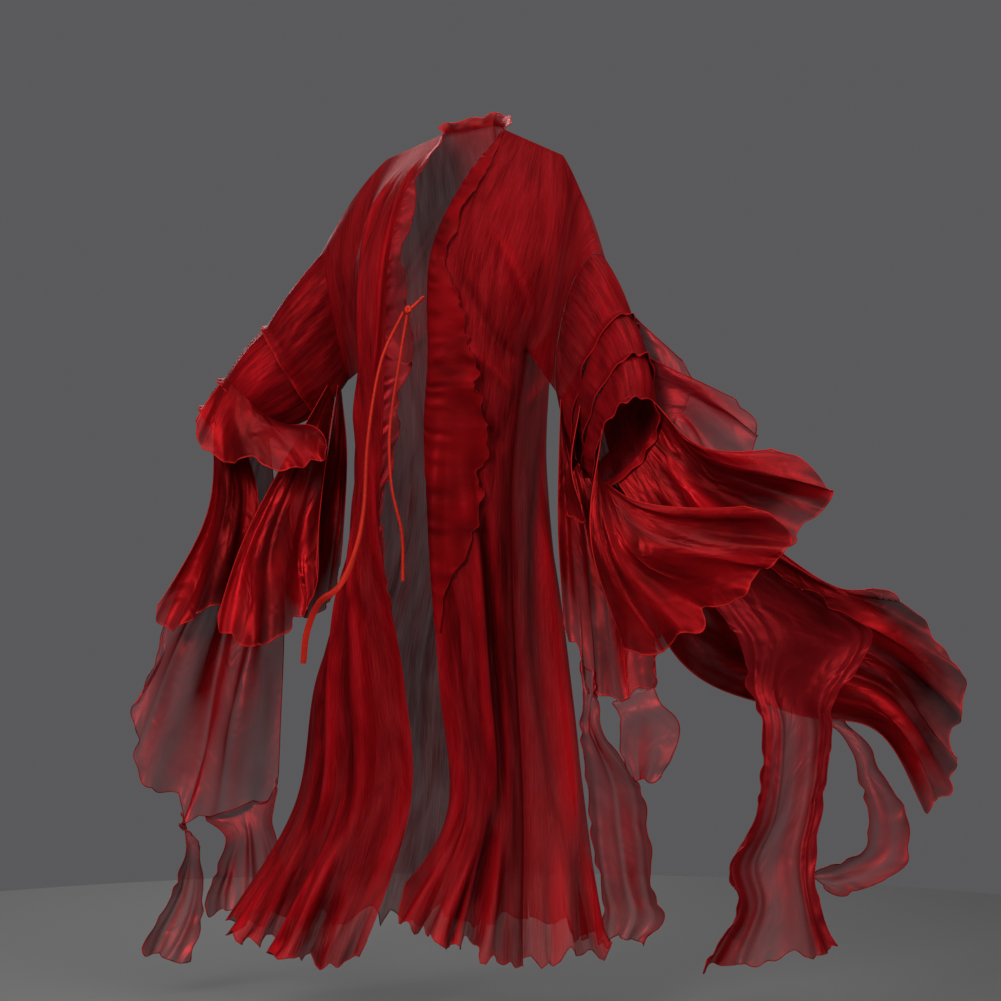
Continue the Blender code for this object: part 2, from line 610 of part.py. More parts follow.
# Body panels
front_out = Vector((0, -1, 0))
back_left_out = wind((1, 0.1, 0)).normalized()
back_right_out = wind((0, -1, 0))
side_back_left = (SIDE_LEFT[0],) + BACK_ARMHOLE_LEFT + SIDE_LEFT[ARMPIT:]
side_back_right = (SIDE_RIGHT[0],) + BACK_ARMHOLE_RIGHT + SIDE_RIGHT[ARMPIT:]
front_left = panel(EDGE_LEFT, SIDE_LEFT, ROUND_FRONT_LEFT, wind((0.1, 1, 0)).normalized(),
                   FRONT_COLUMNS, RINGS_LEFT, False, (2.5, 0.016, 0.10))
front_right = panel(EDGE_RIGHT, SIDE_RIGHT, ROUND_FRONT_RIGHT, front_out,
                    FRONT_COLUMNS, RINGS_RIGHT, False, (2.5, 0.022, 0.35))
back_left = panel(CENTRE_BACK, side_back_left, ROUND_BACK_LEFT, back_left_out,
                  BACK_COLUMNS, RINGS_LEFT, True, (2.0, 0.018, 0.05), EDGE_LEFT[0])
back_right = panel(CENTRE_BACK, side_back_right, ROUND_BACK_RIGHT, back_right_out,
                   BACK_COLUMNS, RINGS_RIGHT, True, (2.0, 0.020, 0.45), EDGE_RIGHT[0])
part_panels(front_left, back_left)
part_panels(front_right, back_right)
part_seam(back_left, centre_edge(), back_right, centre_edge())
cloth("front_left", front_left, RED)
cloth("front_right", front_right, RED)
cloth("back_left", back_left, DARK_RED)
cloth("back_right", back_right, DARK_RED)

# Sleeve tiers
tiers_left = [sleeve_tier(RINGS_LEFT, number) for number in range(3)]
tiers_right = [sleeve_tier(RINGS_RIGHT, number) for number in range(3)]
for number in range(3):
    cloth(f"sleeve_left_tier_{number + 1}", tiers_left[number], RED, closed=True)
    cloth(f"sleeve_right_tier_{number + 1}", tiers_right[number], RED, closed=True)

# Flounces: name, table, sleeve, tier, place along the tier, columns, rows, waves, wave height
LEFT = (tiers_left, RINGS_LEFT)
RIGHT = (tiers_right, RINGS_RIGHT)
FLOUNCES = (
    ("flounce_left_elbow", FLOUNCE_LEFT_ELBOW, LEFT, 0, 0.97, 14, 4, 3, 0.006),
    ("flounce_left_forearm", FLOUNCE_LEFT_FOREARM, LEFT, 1, 0.97, 16, 5, 3.5, 0.008),
    ("flounce_left_cuff", FLOUNCE_LEFT_CUFF, LEFT, 2, 0.97, 20, 6, 4.5, 0.010),
    ("flounce_left_cuff_near", FLOUNCE_LEFT_CUFF_NEAR, LEFT, 2, 0.99, 20, 6, 4.5, 0.010),
    ("flounce_left_inner", FLOUNCE_LEFT_INNER, LEFT, 1, 0.50, 12, 4, 3, 0.005),
    ("flounce_left_under", FLOUNCE_LEFT_UNDER, LEFT, 0, 0.50, 18, 6, 4.5, 0.008),
    ("wing_left", WING_LEFT, LEFT, 0, 0.75, 24, 8, 5.5, 0.012),
    ("flounce_right_forearm", FLOUNCE_RIGHT_FOREARM, RIGHT, 1, 0.97, 18, 4, 4, 0.006),
    ("flounce_right_cuff", FLOUNCE_RIGHT_CUFF, RIGHT, 2, 0.99, 14, 6, 3, 0.008),
    ("flounce_right_inner", FLOUNCE_RIGHT_INNER, RIGHT, 0, 0.53, 16, 6, 3.5, 0.008),
    ("flounce_right_under", FLOUNCE_RIGHT_UNDER, RIGHT, 0, 0.30, 12, 6, 2.5, 0.006),
    ("wing_right", WING_RIGHT, RIGHT, 2, 0.50, 20, 8, 4.5, 0.012),
)
grids = {}
for name, table, sleeve, number, part, columns, rows, waves, height in FLOUNCES:
    tiers, rings = sleeve
    grids[name] = flounce(table, tiers[number], rings, number, part, columns, rows, waves, height)
    cloth(name, grids[name], RED)

# Streamers: name, table, root, rows, waves, wave height
near = wind((0, 1, 0))
streamer_root = [seat(tiers_left[2], RINGS_LEFT, 2, 0.25, 178 - 8 * step) for step in range(9)]
STREAMERS = (
    ("streamer_left", STREAMER_LEFT, streamer_root, 18, 2, 0.008),
    ("streamer_wing", STREAMER_WING, side_root(grids["wing_left"], (5.0, 5.25, 5.5)), 10, 1, 0.003),
    ("streamer_left_inner", STREAMER_LEFT_INNER,
     hem_root(grids["flounce_left_under"], near, 2, 7), 12, 1.5, 0.006),
    ("petal_left", PETAL_LEFT, hem_root(grids["flounce_left_under"], near, 9, 15), 6, 2, 0.006),
    ("streamer_right", STREAMER_RIGHT, hem_root(grids["wing_right"], near, 11, 13), 9, 1, 0.005),
    ("streamer_right_inner", STREAMER_RIGHT_INNER,
     hem_root(grids["wing_right"], near, 14, 20), 8, 2, 0.008),
)
for name, table, root, rows, waves, height in STREAMERS:
    cloth(name, streamer(table, root, len(root) - 1, rows, waves, height), RED)

# Front frills, to the hip: columns follow the front edge, rows run out from it
FRILL_COLUMNS = 56
FRILL_REACH = (0, 0.22, 0.55, 1)    # places of the rows, from the seam to the waved edge
FRILL_ROWS = len(FRILL_REACH) - 1
FRILL_WAVES = 14
FRILL_END = 14.3                # row of the panel's grid where both frills end
FRILL_LEFT_WIDE = (0.000, 0.030, 0.045, 0.055, 0.075, 0.088, 0.075, 0.040)
FRILL_RIGHT_WIDE = (0.012, 0.028, 0.036, 0.040, 0.042, 0.044, 0.040, 0.020)


def frill_left():
    """Turned back over its panel: the panel's own points, moved out."""
    grid = {}
    for column in range(FRILL_COLUMNS + 1):
        part = column / FRILL_COLUMNS
        down = 0.15 + (FRILL_END - 0.15) * part
        wide = roundness(FRILL_LEFT_WIDE, 7 * part) + 0.004
        span = (on(front_left, FRONT_COLUMNS, down) - on(front_left, 0, down)).length
        wave = math.sin(2 * math.pi * FRILL_WAVES * part)
        for row in range(FRILL_ROWS + 1):
            across = FRILL_REACH[row]
            reach = min(wide * across / span, 0.8) * FRONT_COLUMNS
            out = SEATED + 0.022 * math.sqrt(across) + 0.006 * across ** 2 * (1 + wave)
            grid[column, row] = (on(front_left, reach, down)
                                 + facing(front_left, reach, down, front_out) * out)
    return grid


def frill_right():
    """Carries its panel's surface on across the opening, in waves."""
    grid = {}
    for column in range(FRILL_COLUMNS + 1):
        part = column / FRILL_COLUMNS
        down = 0.15 + (FRILL_END - 0.15) * part
        wide = roundness(FRILL_RIGHT_WIDE, 7 * part)
        root = on(front_right, 0, down)
        run = (root - on(front_right, 0.8, down)).normalized()
        out = facing(front_right, 0, down, front_out)
        wave = math.sin(2 * math.pi * FRILL_WAVES * part)
        for row in range(FRILL_ROWS + 1):
            across = FRILL_REACH[row]
            reach = 2 * SEAM + wide * across
            grid[column, row] = root + run * reach + out * (0.004 * across + 0.007 * across ** 2 * wave)
    return grid


cloth("front_frill_left", frill_left(), RED)
cloth("front_frill_right", frill_right(), RED)

# Neck ruffle, standing on the back neckline from shoulder to shoulder
RUFFLE_COLUMNS = 24
RUFFLE_HIGH = 0.020
RUFFLE_WAVES = 5


def neck_ruffle():
    grid = {}
    left = [back_left[NECK_COLUMNS - column, 0] for column in range(NECK_COLUMNS + 1)]
    right = [back_right[column, 0] for column in range(NECK_COLUMNS + 1)]
    line = left + right
    for column in range(RUFFLE_COLUMNS + 1):
        part = column / RUFFLE_COLUMNS
        at = (len(line) - 1) * part
        first = min(int(at), len(line) - 2)
        base = between(line[first], line[first + 1], at - first)
        away = Vector((base.x, base.y, 0)).normalized()
        wave = math.sin(2 * math.pi * RUFFLE_WAVES * part)
        for row in range(3):
            up = row / 2
            rise = Vector((0, 0, 5 * SEAM + RUFFLE_HIGH * up))
            grid[column, row] = base + rise + away * (0.004 * up ** 2 * wave + 0.006 * up)
    return grid


cloth("neck_ruffle", neck_ruffle(), RED)

# Ties
ribbon("tie_across", TIE_ACROSS, ORANGE_RED)
ribbon("tie_short_end", TIE_SHORT, ORANGE_RED)
ribbon("tie_long_end", TIE_LONG, ORANGE_RED)

# Knot
knot_mesh = bpy.data.meshes.new("tie_knot")
knot_shape = bmesh.new()
bmesh.ops.create_uvsphere(knot_shape, u_segments=12, v_segments=8, radius=KNOT_RADIUS)
knot_shape.to_mesh(knot_mesh)
knot_shape.free()
knot = bpy.data.objects.new("tie_knot", knot_mesh)
knot.location = wind(TIE_KNOT)
knot.scale = (1, 0.8, 0.9)
knot.data.materials.append(dyed("tie_knot", ORANGE_RED))
robe.objects.link(knot)
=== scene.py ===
# Sheer red robe, worn open and blown to one side. Lengths are in metres, but in the tables of places
# in millimetres. A place is (down the wind, across the wind, height), as in the part's source.
import math

import bmesh
import bpy
import numpy as np
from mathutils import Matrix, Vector


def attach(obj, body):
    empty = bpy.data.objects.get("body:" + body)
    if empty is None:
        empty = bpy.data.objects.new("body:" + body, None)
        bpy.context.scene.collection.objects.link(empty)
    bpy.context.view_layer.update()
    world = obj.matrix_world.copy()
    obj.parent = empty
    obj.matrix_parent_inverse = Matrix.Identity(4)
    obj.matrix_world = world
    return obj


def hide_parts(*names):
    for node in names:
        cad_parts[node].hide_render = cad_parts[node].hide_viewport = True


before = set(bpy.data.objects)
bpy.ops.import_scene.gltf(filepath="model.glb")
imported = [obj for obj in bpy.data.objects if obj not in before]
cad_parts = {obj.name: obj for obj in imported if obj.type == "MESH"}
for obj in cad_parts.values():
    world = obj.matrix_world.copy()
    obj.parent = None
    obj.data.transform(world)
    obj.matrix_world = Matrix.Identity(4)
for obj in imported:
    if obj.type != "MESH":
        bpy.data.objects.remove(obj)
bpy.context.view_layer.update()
bpy.ops.object.select_all(action="DESELECT")

windTurn = math.radians(35)  # from +X to the way the wind blows


def wind(places):
    down, across, height = np.moveaxis(np.asarray(places, float), -1, 0)
    east = down * math.cos(windTurn) + across * math.sin(windTurn)
    north = down * math.sin(windTurn) - across * math.cos(windTurn)
    return np.stack((east, north, height), axis=-1)


def fromMm(values):
    return np.asarray(values, float) / 1000


def spot(places):
    return wind(fromMm(places))


# Camera, light and floor
studio = {
    "camera": (0.0425, 5.0, -0.625),
    "lens": 107.9,
    "floor": (1.85, -1.475, (0.080, 0.078, 0.077)),  # radius, height, colour
    "air": (0.103, 0.103, 0.107),
    "lamps": (  # place, what it looks at, size, watts
        ((-2.1, 3.4, 1.3), (0.0, 0.0, -0.6), 1.8, 150),
        ((2.6, 3.0, 0.4), (0.2, 0.0, -0.7), 2.2, 70),
        ((0.3, 1.0, 2.6), (0.1, 0.0, -0.7), 2.0, 60),
        ((-0.6, -3.0, 1.4), (0.1, 0.0, -0.6), 2.4, 80)),
}

bpy.ops.object.camera_add(location=wind(studio["camera"]), rotation=(math.pi / 2, 0, windTurn))
camera = bpy.context.active_object
camera.data.lens = studio["lens"]
camera.data.sensor_width = 36
camera.data.clip_end = 50
bpy.context.scene.camera = camera
bpy.context.scene.view_settings.view_transform = "Standard"
bpy.context.scene.cycles.transparent_max_bounces = 40  # many sheer layers lie behind each other
for place, target, size, watts in studio["lamps"]:
    bpy.ops.object.light_add(type="AREA", location=wind(place))
    lamp = bpy.context.active_object
    lamp.data.size = size
    lamp.data.energy = watts
    aim = Vector(wind(target) - wind(place))
    lamp.rotation_euler = aim.to_track_quat("-Z", "Y").to_euler()
air = bpy.data.worlds.new("studio_air")
air.use_nodes = True
air.node_tree.nodes["Background"].inputs["Color"].default_value = (*studio["air"], 1)
bpy.context.scene.world = air


# Shader maths: a wrapped socket adds its own nodes
class Wire:
    def __init__(self, recipe, socket):
        self.recipe = recipe
        self.socket = socket

    def sum(self, operation, *parts):
        return self.recipe.add("Math", {"operation": operation}, dict(enumerate(parts)))[0]

    def __add__(self, other):
        return self.sum("ADD", self, other)

    def __radd__(self, other):
        return self.sum("ADD", other, self)

    def __sub__(self, other):
        return self.sum("SUBTRACT", self, other)

    def __rsub__(self, other):
        return self.sum("SUBTRACT", other, self)

    def __mul__(self, other):
        return self.sum("MULTIPLY", self, other)


class Recipe:
    def __init__(self, name):
        self.material = bpy.data.materials.new(name)
        self.material.use_nodes = True
        self.tree = self.material.node_tree
        self.surface = self.tree.nodes["Principled BSDF"]

    def add(self, kind, settings, values):
        node = self.tree.nodes.new("ShaderNode" + kind)
        for key, value in settings.items():
            setattr(node, key, value)
        for key, value in values.items():
            self.feed(node.inputs[key], value)
        return [Wire(self, socket) for socket in node.outputs]

    def feed(self, socket, value):
        if isinstance(value, Wire):
            self.tree.links.new(value.socket, socket)
        else:
            socket.default_value = value

    def blend(self, factor, one, other):
        mixed = self.add("Mix", {"data_type": "RGBA"}, {0: factor, 6: one, 7: other})
        return mixed[2]


# How strongly each feature shifts the tone from deep to bright, and how much it covers or roughens; the
# fold term is painted shade in the troughs and painted highlight on the ridges
toneAndShadeOf = {"patch": 0.28, "fold": 0.45, "thin": 0.20, "base": 0.28, "seam": 0.55, "hem": 0.85}
coverOf = {"patch": 0.10, "seam": 0.14, "thread": 0.10, "hem": 0.97}
roughOf = {"rib": 0.12, "hem": 0.1}


# Attribute cut is the cloth's own width and length, trim is hem, seam and fold height, veil is
# how far the cloth thins towards its hem and where folds double it. The fold height paints shade
# into troughs and light onto ridges
def sheerCloth(name, look):
    recipe = Recipe(name)
    cut = recipe.add("Attribute", {"attribute_name": "cut"}, {})[1]
    trimAndFoldShade = recipe.add("Attribute", {"attribute_name": "trimAndFoldShade"}, {})[1]
    veil = recipe.add("Attribute", {"attribute_name": "veil"}, {})[1]
    hem, seam, fold = recipe.add("SeparateXYZ", {}, {0: trimAndFoldShade})
    thin, doubled, _ = recipe.add("SeparateXYZ", {}, {0: veil})
    stretched = recipe.add("Mapping", {}, {0: cut, 3: look["crinkle"]})[0]
    coarse = {"Vector": stretched, "Scale": 1, "Detail": 3, "Roughness": 0.6}
    crinkle = recipe.add("TexNoise", {}, coarse)[0]
    finer = recipe.add("Mapping", {}, {0: cut, 3: look["thread"]})[0]
    thread = recipe.add("TexNoise", {}, {"Vector": finer, "Scale": 1, "Detail": 1})[0]
    clouds = recipe.add("TexNoise", {}, {"Vector": cut, "Scale": 8, "Detail": 2, "Distortion": 0.6})[0]
    rumple = recipe.add("TexNoise", {}, {"Vector": cut, "Scale": 17, "Detail": 1, "Distortion": 1.2})[0]
    rib = recipe.add("MapRange", {}, {0: crinkle, 1: 0.36, 2: 0.66, 3: 0.0, 4: 1.0})[0]
    patch = recipe.add("MapRange", {}, {0: clouds, 1: 0.34, 2: 0.66, 3: 0.0, 4: 1.0})[0]
    # Painted shade and highlight: fold height darkens troughs and lightens ridges, and the crinkle's ribs
    # add their painted shade; patch is a random tone of the cloth
    toneAndShade = rib * look["ribShade"] + patch * toneAndShadeOf["patch"] + fold * toneAndShadeOf["fold"]
    toneAndShade = toneAndShade + thin * toneAndShadeOf["thin"] - toneAndShadeOf["base"]
    dyedAndShaded = recipe.blend(toneAndShade, (*look["deepWithShade"], 1), (*look["brightWithHighlight"], 1))
    sewn = recipe.blend(seam * toneAndShadeOf["seam"], dyedAndShaded, (*look["seam"], 1))
    rolled = recipe.blend(hem * toneAndShadeOf["hem"], sewn, (*look["hem"], 1))
    recipe.feed(recipe.surface.inputs["Base Color"], rolled)
    cover = look["cover"] - thin * look["fade"] + doubled * look["doubling"]
    cover = cover + (0.5 - patch) * coverOf["patch"] + (1 - rib) * look["ribCover"]
    cover = cover + seam * coverOf["seam"] + (thread - 0.5) * coverOf["thread"]
    covered = recipe.add("Math", {"operation": "MAXIMUM"}, {0: cover, 1: hem * coverOf["hem"]})[0]
    recipe.feed(recipe.surface.inputs["Alpha"], recipe.add("Clamp", {}, {0: covered, 1: 0.0, 2: 1.0})[0])
    rough = look["rough"] + (1 - rib) * roughOf["rib"] + hem * roughOf["hem"]
    recipe.feed(recipe.surface.inputs["Roughness"], rough)
    height = rib * look["ribHeight"] + thread * look["threadHeight"] + rumple * look["rumpleHeight"]
    bump = recipe.add("Bump", {}, {"Strength": look["bump"], "Distance": 0.001, "Height": height})[0]
    recipe.feed(recipe.surface.inputs["Normal"], bump)
    shine = {  # metallic, because satin throws its own colour back
        "Metallic": look["metal"], "Sheen Weight": look["sheen"], "Sheen Roughness": 0.35,
        "Sheen Tint": (*look["sheenTint"], 1), "Specular IOR Level": look["gloss"],
        "Specular Tint": (*look["glossTint"], 1)}
    for socket, value in shine.items():
        recipe.feed(recipe.surface.inputs[socket], value)
    return recipe.material


# Deep and bright are the ends of the tone blend: the cloth's darker and lighter reds, and also the painted
# shade of troughs and painted highlight of ridges
chiffonLook = {
    "deepWithShade": (0.070, 0.0006, 0.0016), "brightWithHighlight": (0.42, 0.0038, 0.0080), "seam": (0.12, 0.0010, 0.0030),
    "hem": (0.34, 0.006, 0.008), "crinkle": (150, 14, 1), "thread": (900, 900, 1), "ribShade": 0.30,
    "cover": 0.89, "fade": 0.12, "doubling": 0.15, "ribCover": 0.09, "rough": 0.44, "bump": 0.55,
    "ribHeight": 0.8, "threadHeight": 0.25, "rumpleHeight": 3.5, "metal": 0.30, "sheen": 0.03,
    "sheenTint": (0.9, 0.05, 0.05), "gloss": 0.18, "glossTint": (1.0, 0.12, 0.10),
}
organzaLook = {
    "deepWithShade": (0.060, 0.0004, 0.0012), "brightWithHighlight": (0.44, 0.0040, 0.0080), "seam": (0.10, 0.0008, 0.0020),
    "hem": (0.46, 0.012, 0.012), "crinkle": (22, 9, 1), "thread": (1100, 1100, 1), "ribShade": 0.12,
    "cover": 1.0, "fade": 0.24, "doubling": 0.30, "ribCover": 0.04, "rough": 0.34, "bump": 0.60,
    "ribHeight": 0.4, "threadHeight": 0.10, "rumpleHeight": 5.0, "metal": 0.40, "sheen": 0.03,
    "sheenTint": (0.9, 0.05, 0.05), "gloss": 0.30, "glossTint": (1.0, 0.12, 0.10),
}
sheerLook = dict(organzaLook, deepWithShade=(0.15, 0.005, 0.008), brightWithHighlight=(0.40, 0.010, 0.014), cover=0.84,
                 fade=0.34, doubling=0.45, hem=(0.24, 0.004, 0.006))
ribbonLook = {
    "deepWithShade": (0.30, 0.006, 0.004), "brightWithHighlight": (0.62, 0.030, 0.014), "seam": (0.5, 0.02, 0.01),
    "hem": (0.42, 0.012, 0.007), "crinkle": (30, 300, 1), "thread": (900, 900, 1), "ribShade": 0.3,
    "cover": 1.0, "fade": 0.0, "doubling": 0.0, "ribCover": 0.0, "rough": 0.42, "bump": 0.25,
    "ribHeight": 0.6, "threadHeight": 0.3, "rumpleHeight": 0.5, "metal": 0.1, "sheen": 0.03,
    "sheenTint": (1.0, 0.2, 0.12), "gloss": 0.4, "glossTint": (1.0, 0.3, 0.2),
}
chiffon = sheerCloth("crinkled_chiffon", chiffonLook)
# The back's chiffon is sheerer, and its reds are lifted as painted light on its shadowed inside
backLookPaintedLight = dict(chiffonLook, deepWithShade=(0.26, 0.004, 0.007), brightWithHighlight=(0.62, 0.006, 0.011), cover=0.70,
                ribCover=0.14)
backChiffonPaintedLight = sheerCloth("back_chiffon_painted_light", backLookPaintedLight)
organza = sheerCloth("satin_organza", organzaLook)
sheerOrganza = sheerCloth("sheer_organza", sheerLook)
streamerOrganza = sheerCloth("streamer_organza", dict(sheerLook, cover=1.05, fade=0.48, doubling=0.30))
frillLook = dict(organzaLook, rough=0.5, metal=0.22, rumpleHeight=2.0, gloss=0.15,
                 hem=(0.20, 0.003, 0.005))
frillOrganza = sheerCloth("frill_organza", frillLook)
satin = sheerCloth("ribbon_satin", ribbonLook)
slotCloth = {"red_chiffon": chiffon, "red_organza": organza, "orange_ribbon": satin}


# Form helpers, on arrays of points: columns first, then rows
def unit(vectors):
    return vectors / np.maximum(np.linalg.norm(vectors, axis=-1, keepdims=True), 1e-9)


def spline(points, at):
    points = np.asarray(points, float)
    at = np.asarray(at, float)
    last = len(points) - 1
    start = np.clip(at.astype(int), 0, last - 1)
    part = (at - start).reshape((-1,) + (1,) * (points.ndim - 1))
    led = np.concatenate((2 * points[:1] - points[1:2], points, 2 * points[-1:] - points[-2:-1]))
    before, here, there, after = led[start], led[start + 1], led[start + 2], led[start + 3]
    slopeHere = (there - before) / 2
    slopeThere = (after - here) / 2
    square, cube = part ** 2, part ** 3
    return (here * (2 * cube - 3 * square + 1) + slopeHere * (cube - 2 * square + part)
            + there * (3 * square - 2 * cube) + slopeThere * (cube - square))


def arch(part):
    return 4 * part * (1 - part)


def ease(part):
    part = np.clip(part, 0, 1)
    return part * part * (3 - 2 * part)


# How far across and down the grid each column and row is, from 0 to 1
def shares(grid):
    return np.linspace(0, 1, grid.shape[0])[:, None], np.linspace(0, 1, grid.shape[1])[None, :]


def squareTo(grid):
    return unit(np.cross(np.gradient(grid, axis=0), np.gradient(grid, axis=1)))


# Length from the grid's first line of points to each of its points.
def runAlong(grid, axis):
    steps = np.linalg.norm(np.diff(grid, axis=axis), axis=-1)
    run = np.cumsum(steps, axis=axis)
    return np.insert(run, 0, 0, axis=axis)


def sample(grid, column, row):
    column = np.clip(np.asarray(column, float), 0, grid.shape[0] - 1.001)
    row = np.clip(np.asarray(row, float), 0, grid.shape[1] - 1.001)
    left, top = column.astype(int), row.astype(int)
    across, down = (column - left)[..., None], (row - top)[..., None]
    upper = grid[left, top] * (1 - across) + grid[left + 1, top] * across
    lower = grid[left, top + 1] * (1 - across) + grid[left + 1, top + 1] * across
    return upper * (1 - down) + lower * down


# A wave whose crests differ in height and spacing, turns being its count so far.
def uneven(turns):
    shifted = turns + 0.16 * np.sin(1.9 * turns + 0.7) + 0.10 * np.sin(4.3 * turns)
    return np.sin(2 * math.pi * shifted) * (0.75 + 0.25 * np.sin(2.6 * turns + 1.1))


# The main waves of a hem, square to the cloth, as in the part's source.
def rippled(grid, waves, height):
    along, down = np.gradient(grid, axis=0), np.gradient(grid, axis=1)
    downward = unit(down)
    square = along - downward * (along * downward).sum(-1, keepdims=True)
    spacing = np.linalg.norm(square, axis=-1) * (grid.shape[0] - 1)
    place, part = shares(grid)
    out = np.minimum(height, 0.7 * spacing / (2 * math.pi * waves)) * part ** 3
    return grid + squareTo(grid) * (out * np.sin(2 * math.pi * waves * place))[..., None]


# Long soft ridges and troughs from root to hem: place at each in percent, half width, height.
def pleated(grid, pleats):
    place, part = shares(grid)
    wide = np.linalg.norm(np.diff(grid[:, -1], axis=0), axis=-1).sum()
    out = np.zeros(grid.shape[:2])
    for atRoot, atHem, halfWidth, high in np.array(pleats) / (100, 100, 1000, 1000):
        centre = atRoot + (atHem - atRoot) * part + 0.03 * np.sin(4.5 * part + 9 * atRoot) * part
        spread = halfWidth / wide * (0.70 + 0.45 * part * math.cos(5 * atRoot) ** 2)
        fade = ease((part - 0.22 * math.sin(7 * atRoot) ** 2) * 1.9)
        out += high * fade * np.exp(-((place - centre) / spread) ** 2)
    return grid + squareTo(grid) * out[..., None], out


# The small uneven curls that a rolled hem pulls into the last few millimetres.
def curled(grid, length, height, reach=0.014):
    fromHem = runAlong(grid[:, ::-1], 1)[:, ::-1]
    turns = runAlong(grid[:, -1:], 0) / length
    fade = np.exp(-fromHem / reach)
    out = height * uneven(turns) * fade
    down = unit(np.gradient(grid, axis=1))
    slip = 0.8 * height * uneven(turns * 0.61 + 0.37) * fade
    return grid + squareTo(grid) * out[..., None] + down * slip[..., None]


# Longer and shorter lobes along the hem, with notches between them, in the cloth's own plane
def scalloped(grid, length, depth, reach=0.09, start=0.0):
    fromHem = runAlong(grid[:, ::-1], 1)[:, ::-1]
    turns = runAlong(grid[:, -1:], 0) / length + start
    notches = abs(np.sin(math.pi * (1.7 * turns + 0.35 * np.sin(2.3 * turns))))
    slip = depth * (0.65 * uneven(turns) + 0.7 * notches - 0.45) * ease(1 - fromHem / reach)
    return grid + unit(np.gradient(grid, axis=1)) * slip[..., None]


# Corners of the hem cut round, both or the first alone
def cornered(grid, radius, both=True):
    run = runAlong(grid[:, -1:], 0)[:, 0]
    radius = min(radius, 0.45 * run[-1])
    toCorner = np.minimum(run, run[-1] - run) if both else run
    inside = np.clip(radius - toCorner, 0, radius)
    back = radius - np.sqrt(radius ** 2 - inside ** 2)
    kept = 1 - np.minimum(0.7, 0.9 * back / runAlong(grid, 1)[:, -1])
    row = np.arange(grid.shape[1])[None, :] * kept[:, None]
    return sample(grid, np.arange(grid.shape[0])[:, None] * np.ones_like(row), row)


# Broad soft swells: place across, part down and their half widths in percent, height.
def billowed(grid, billows):
    place, part = shares(grid)
    out = np.zeros(grid.shape[:2])
    for across, down, wide, long, high in np.array(billows) / (100, 100, 100, 100, 1000):
        out += high * np.exp(-((place - across) / wide) ** 2 - ((part - down) / long) ** 2)
    out *= ease(part / 0.3)
    return grid + squareTo(grid) * out[..., None], out


# Lay the first row on its seam, and fade that out down the cloth.
def settled(grid, root, reach=0.25):
    _, part = shares(grid)
    return grid + (root - grid[:, 0])[:, None] * (1 - ease(part / reach))[..., None]


# Soft troughs and ridges from one place of the cloth to another, bowed a little.
def creased(grid, across, along, creases, lastRows=1.2):
    out = np.zeros(grid.shape[:2])
    for (startAcross, startAlong), (endAcross, endAlong), halfWidth, high in creases:
        goAcross, goAlong = endAcross - startAcross, endAlong - startAlong
        length = math.hypot(goAcross, goAlong)
        part = ((across - startAcross) * goAcross + (along - startAlong) * goAlong) / length ** 2
        aside = ((across - startAcross) * goAlong - (along - startAlong) * goAcross) / length
        aside = aside + 0.05 * length * np.sin(math.pi * np.clip(part, 0, 1)) * (1 if high > 0 else -1)
        taper = ease(part / 0.22) * ease((1 - part) / 0.22)
        if endAlong > lastRows:  # it runs out at the hem
            taper = ease(part / 0.3)
        out += high * taper * np.exp(-(aside / halfWidth) ** 2)
    return out


def rolledHem(path, square, radius):
    tangent = unit(np.gradient(path, axis=0))
    side = unit(np.cross(tangent, square))
    up = np.cross(side, tangent)
    sides = 5  # of the roll's section
    turn = 2 * math.pi * np.arange(sides) / sides
    rings = path[:, None] + radius * (np.cos(turn)[None, :, None] * up[:, None]
                                      + np.sin(turn)[None, :, None] * side[:, None])
    faces = []
    for step in range(len(path) - 1):
        here, there = step * sides, (step + 1) * sides
        for one in range(sides):
            other = (one + 1) % sides
            faces.append((here + one, here + other, there + other, there + one))
    faces.append(tuple(range(sides))[::-1])
    faces.append(tuple((len(path) - 1) * sides + one for one in range(sides)))
    return rings.reshape(-1, 3), faces


# What the cloth's shader reads at each vertex
def label(mesh, cut, trimAndFoldShade, veil):
    for name, values in (("cut", cut), ("trimAndFoldShade", trimAndFoldShade), ("veil", veil)):
        layer = mesh.attributes.new(name, "FLOAT_VECTOR", "POINT")
        layer.data.foreach_set("vector", np.ascontiguousarray(values, dtype=np.float32).ravel())


finished = {}
bands = {  # width of the darker hem and seam, depth of a fold whose painted shade and highlight are full, least spacing, radius of a rolled hem
    "hem": 0.0035, "seam": 0.007, "fold": 0.02, "spacing": 0.0005, "roll": 0.0009}


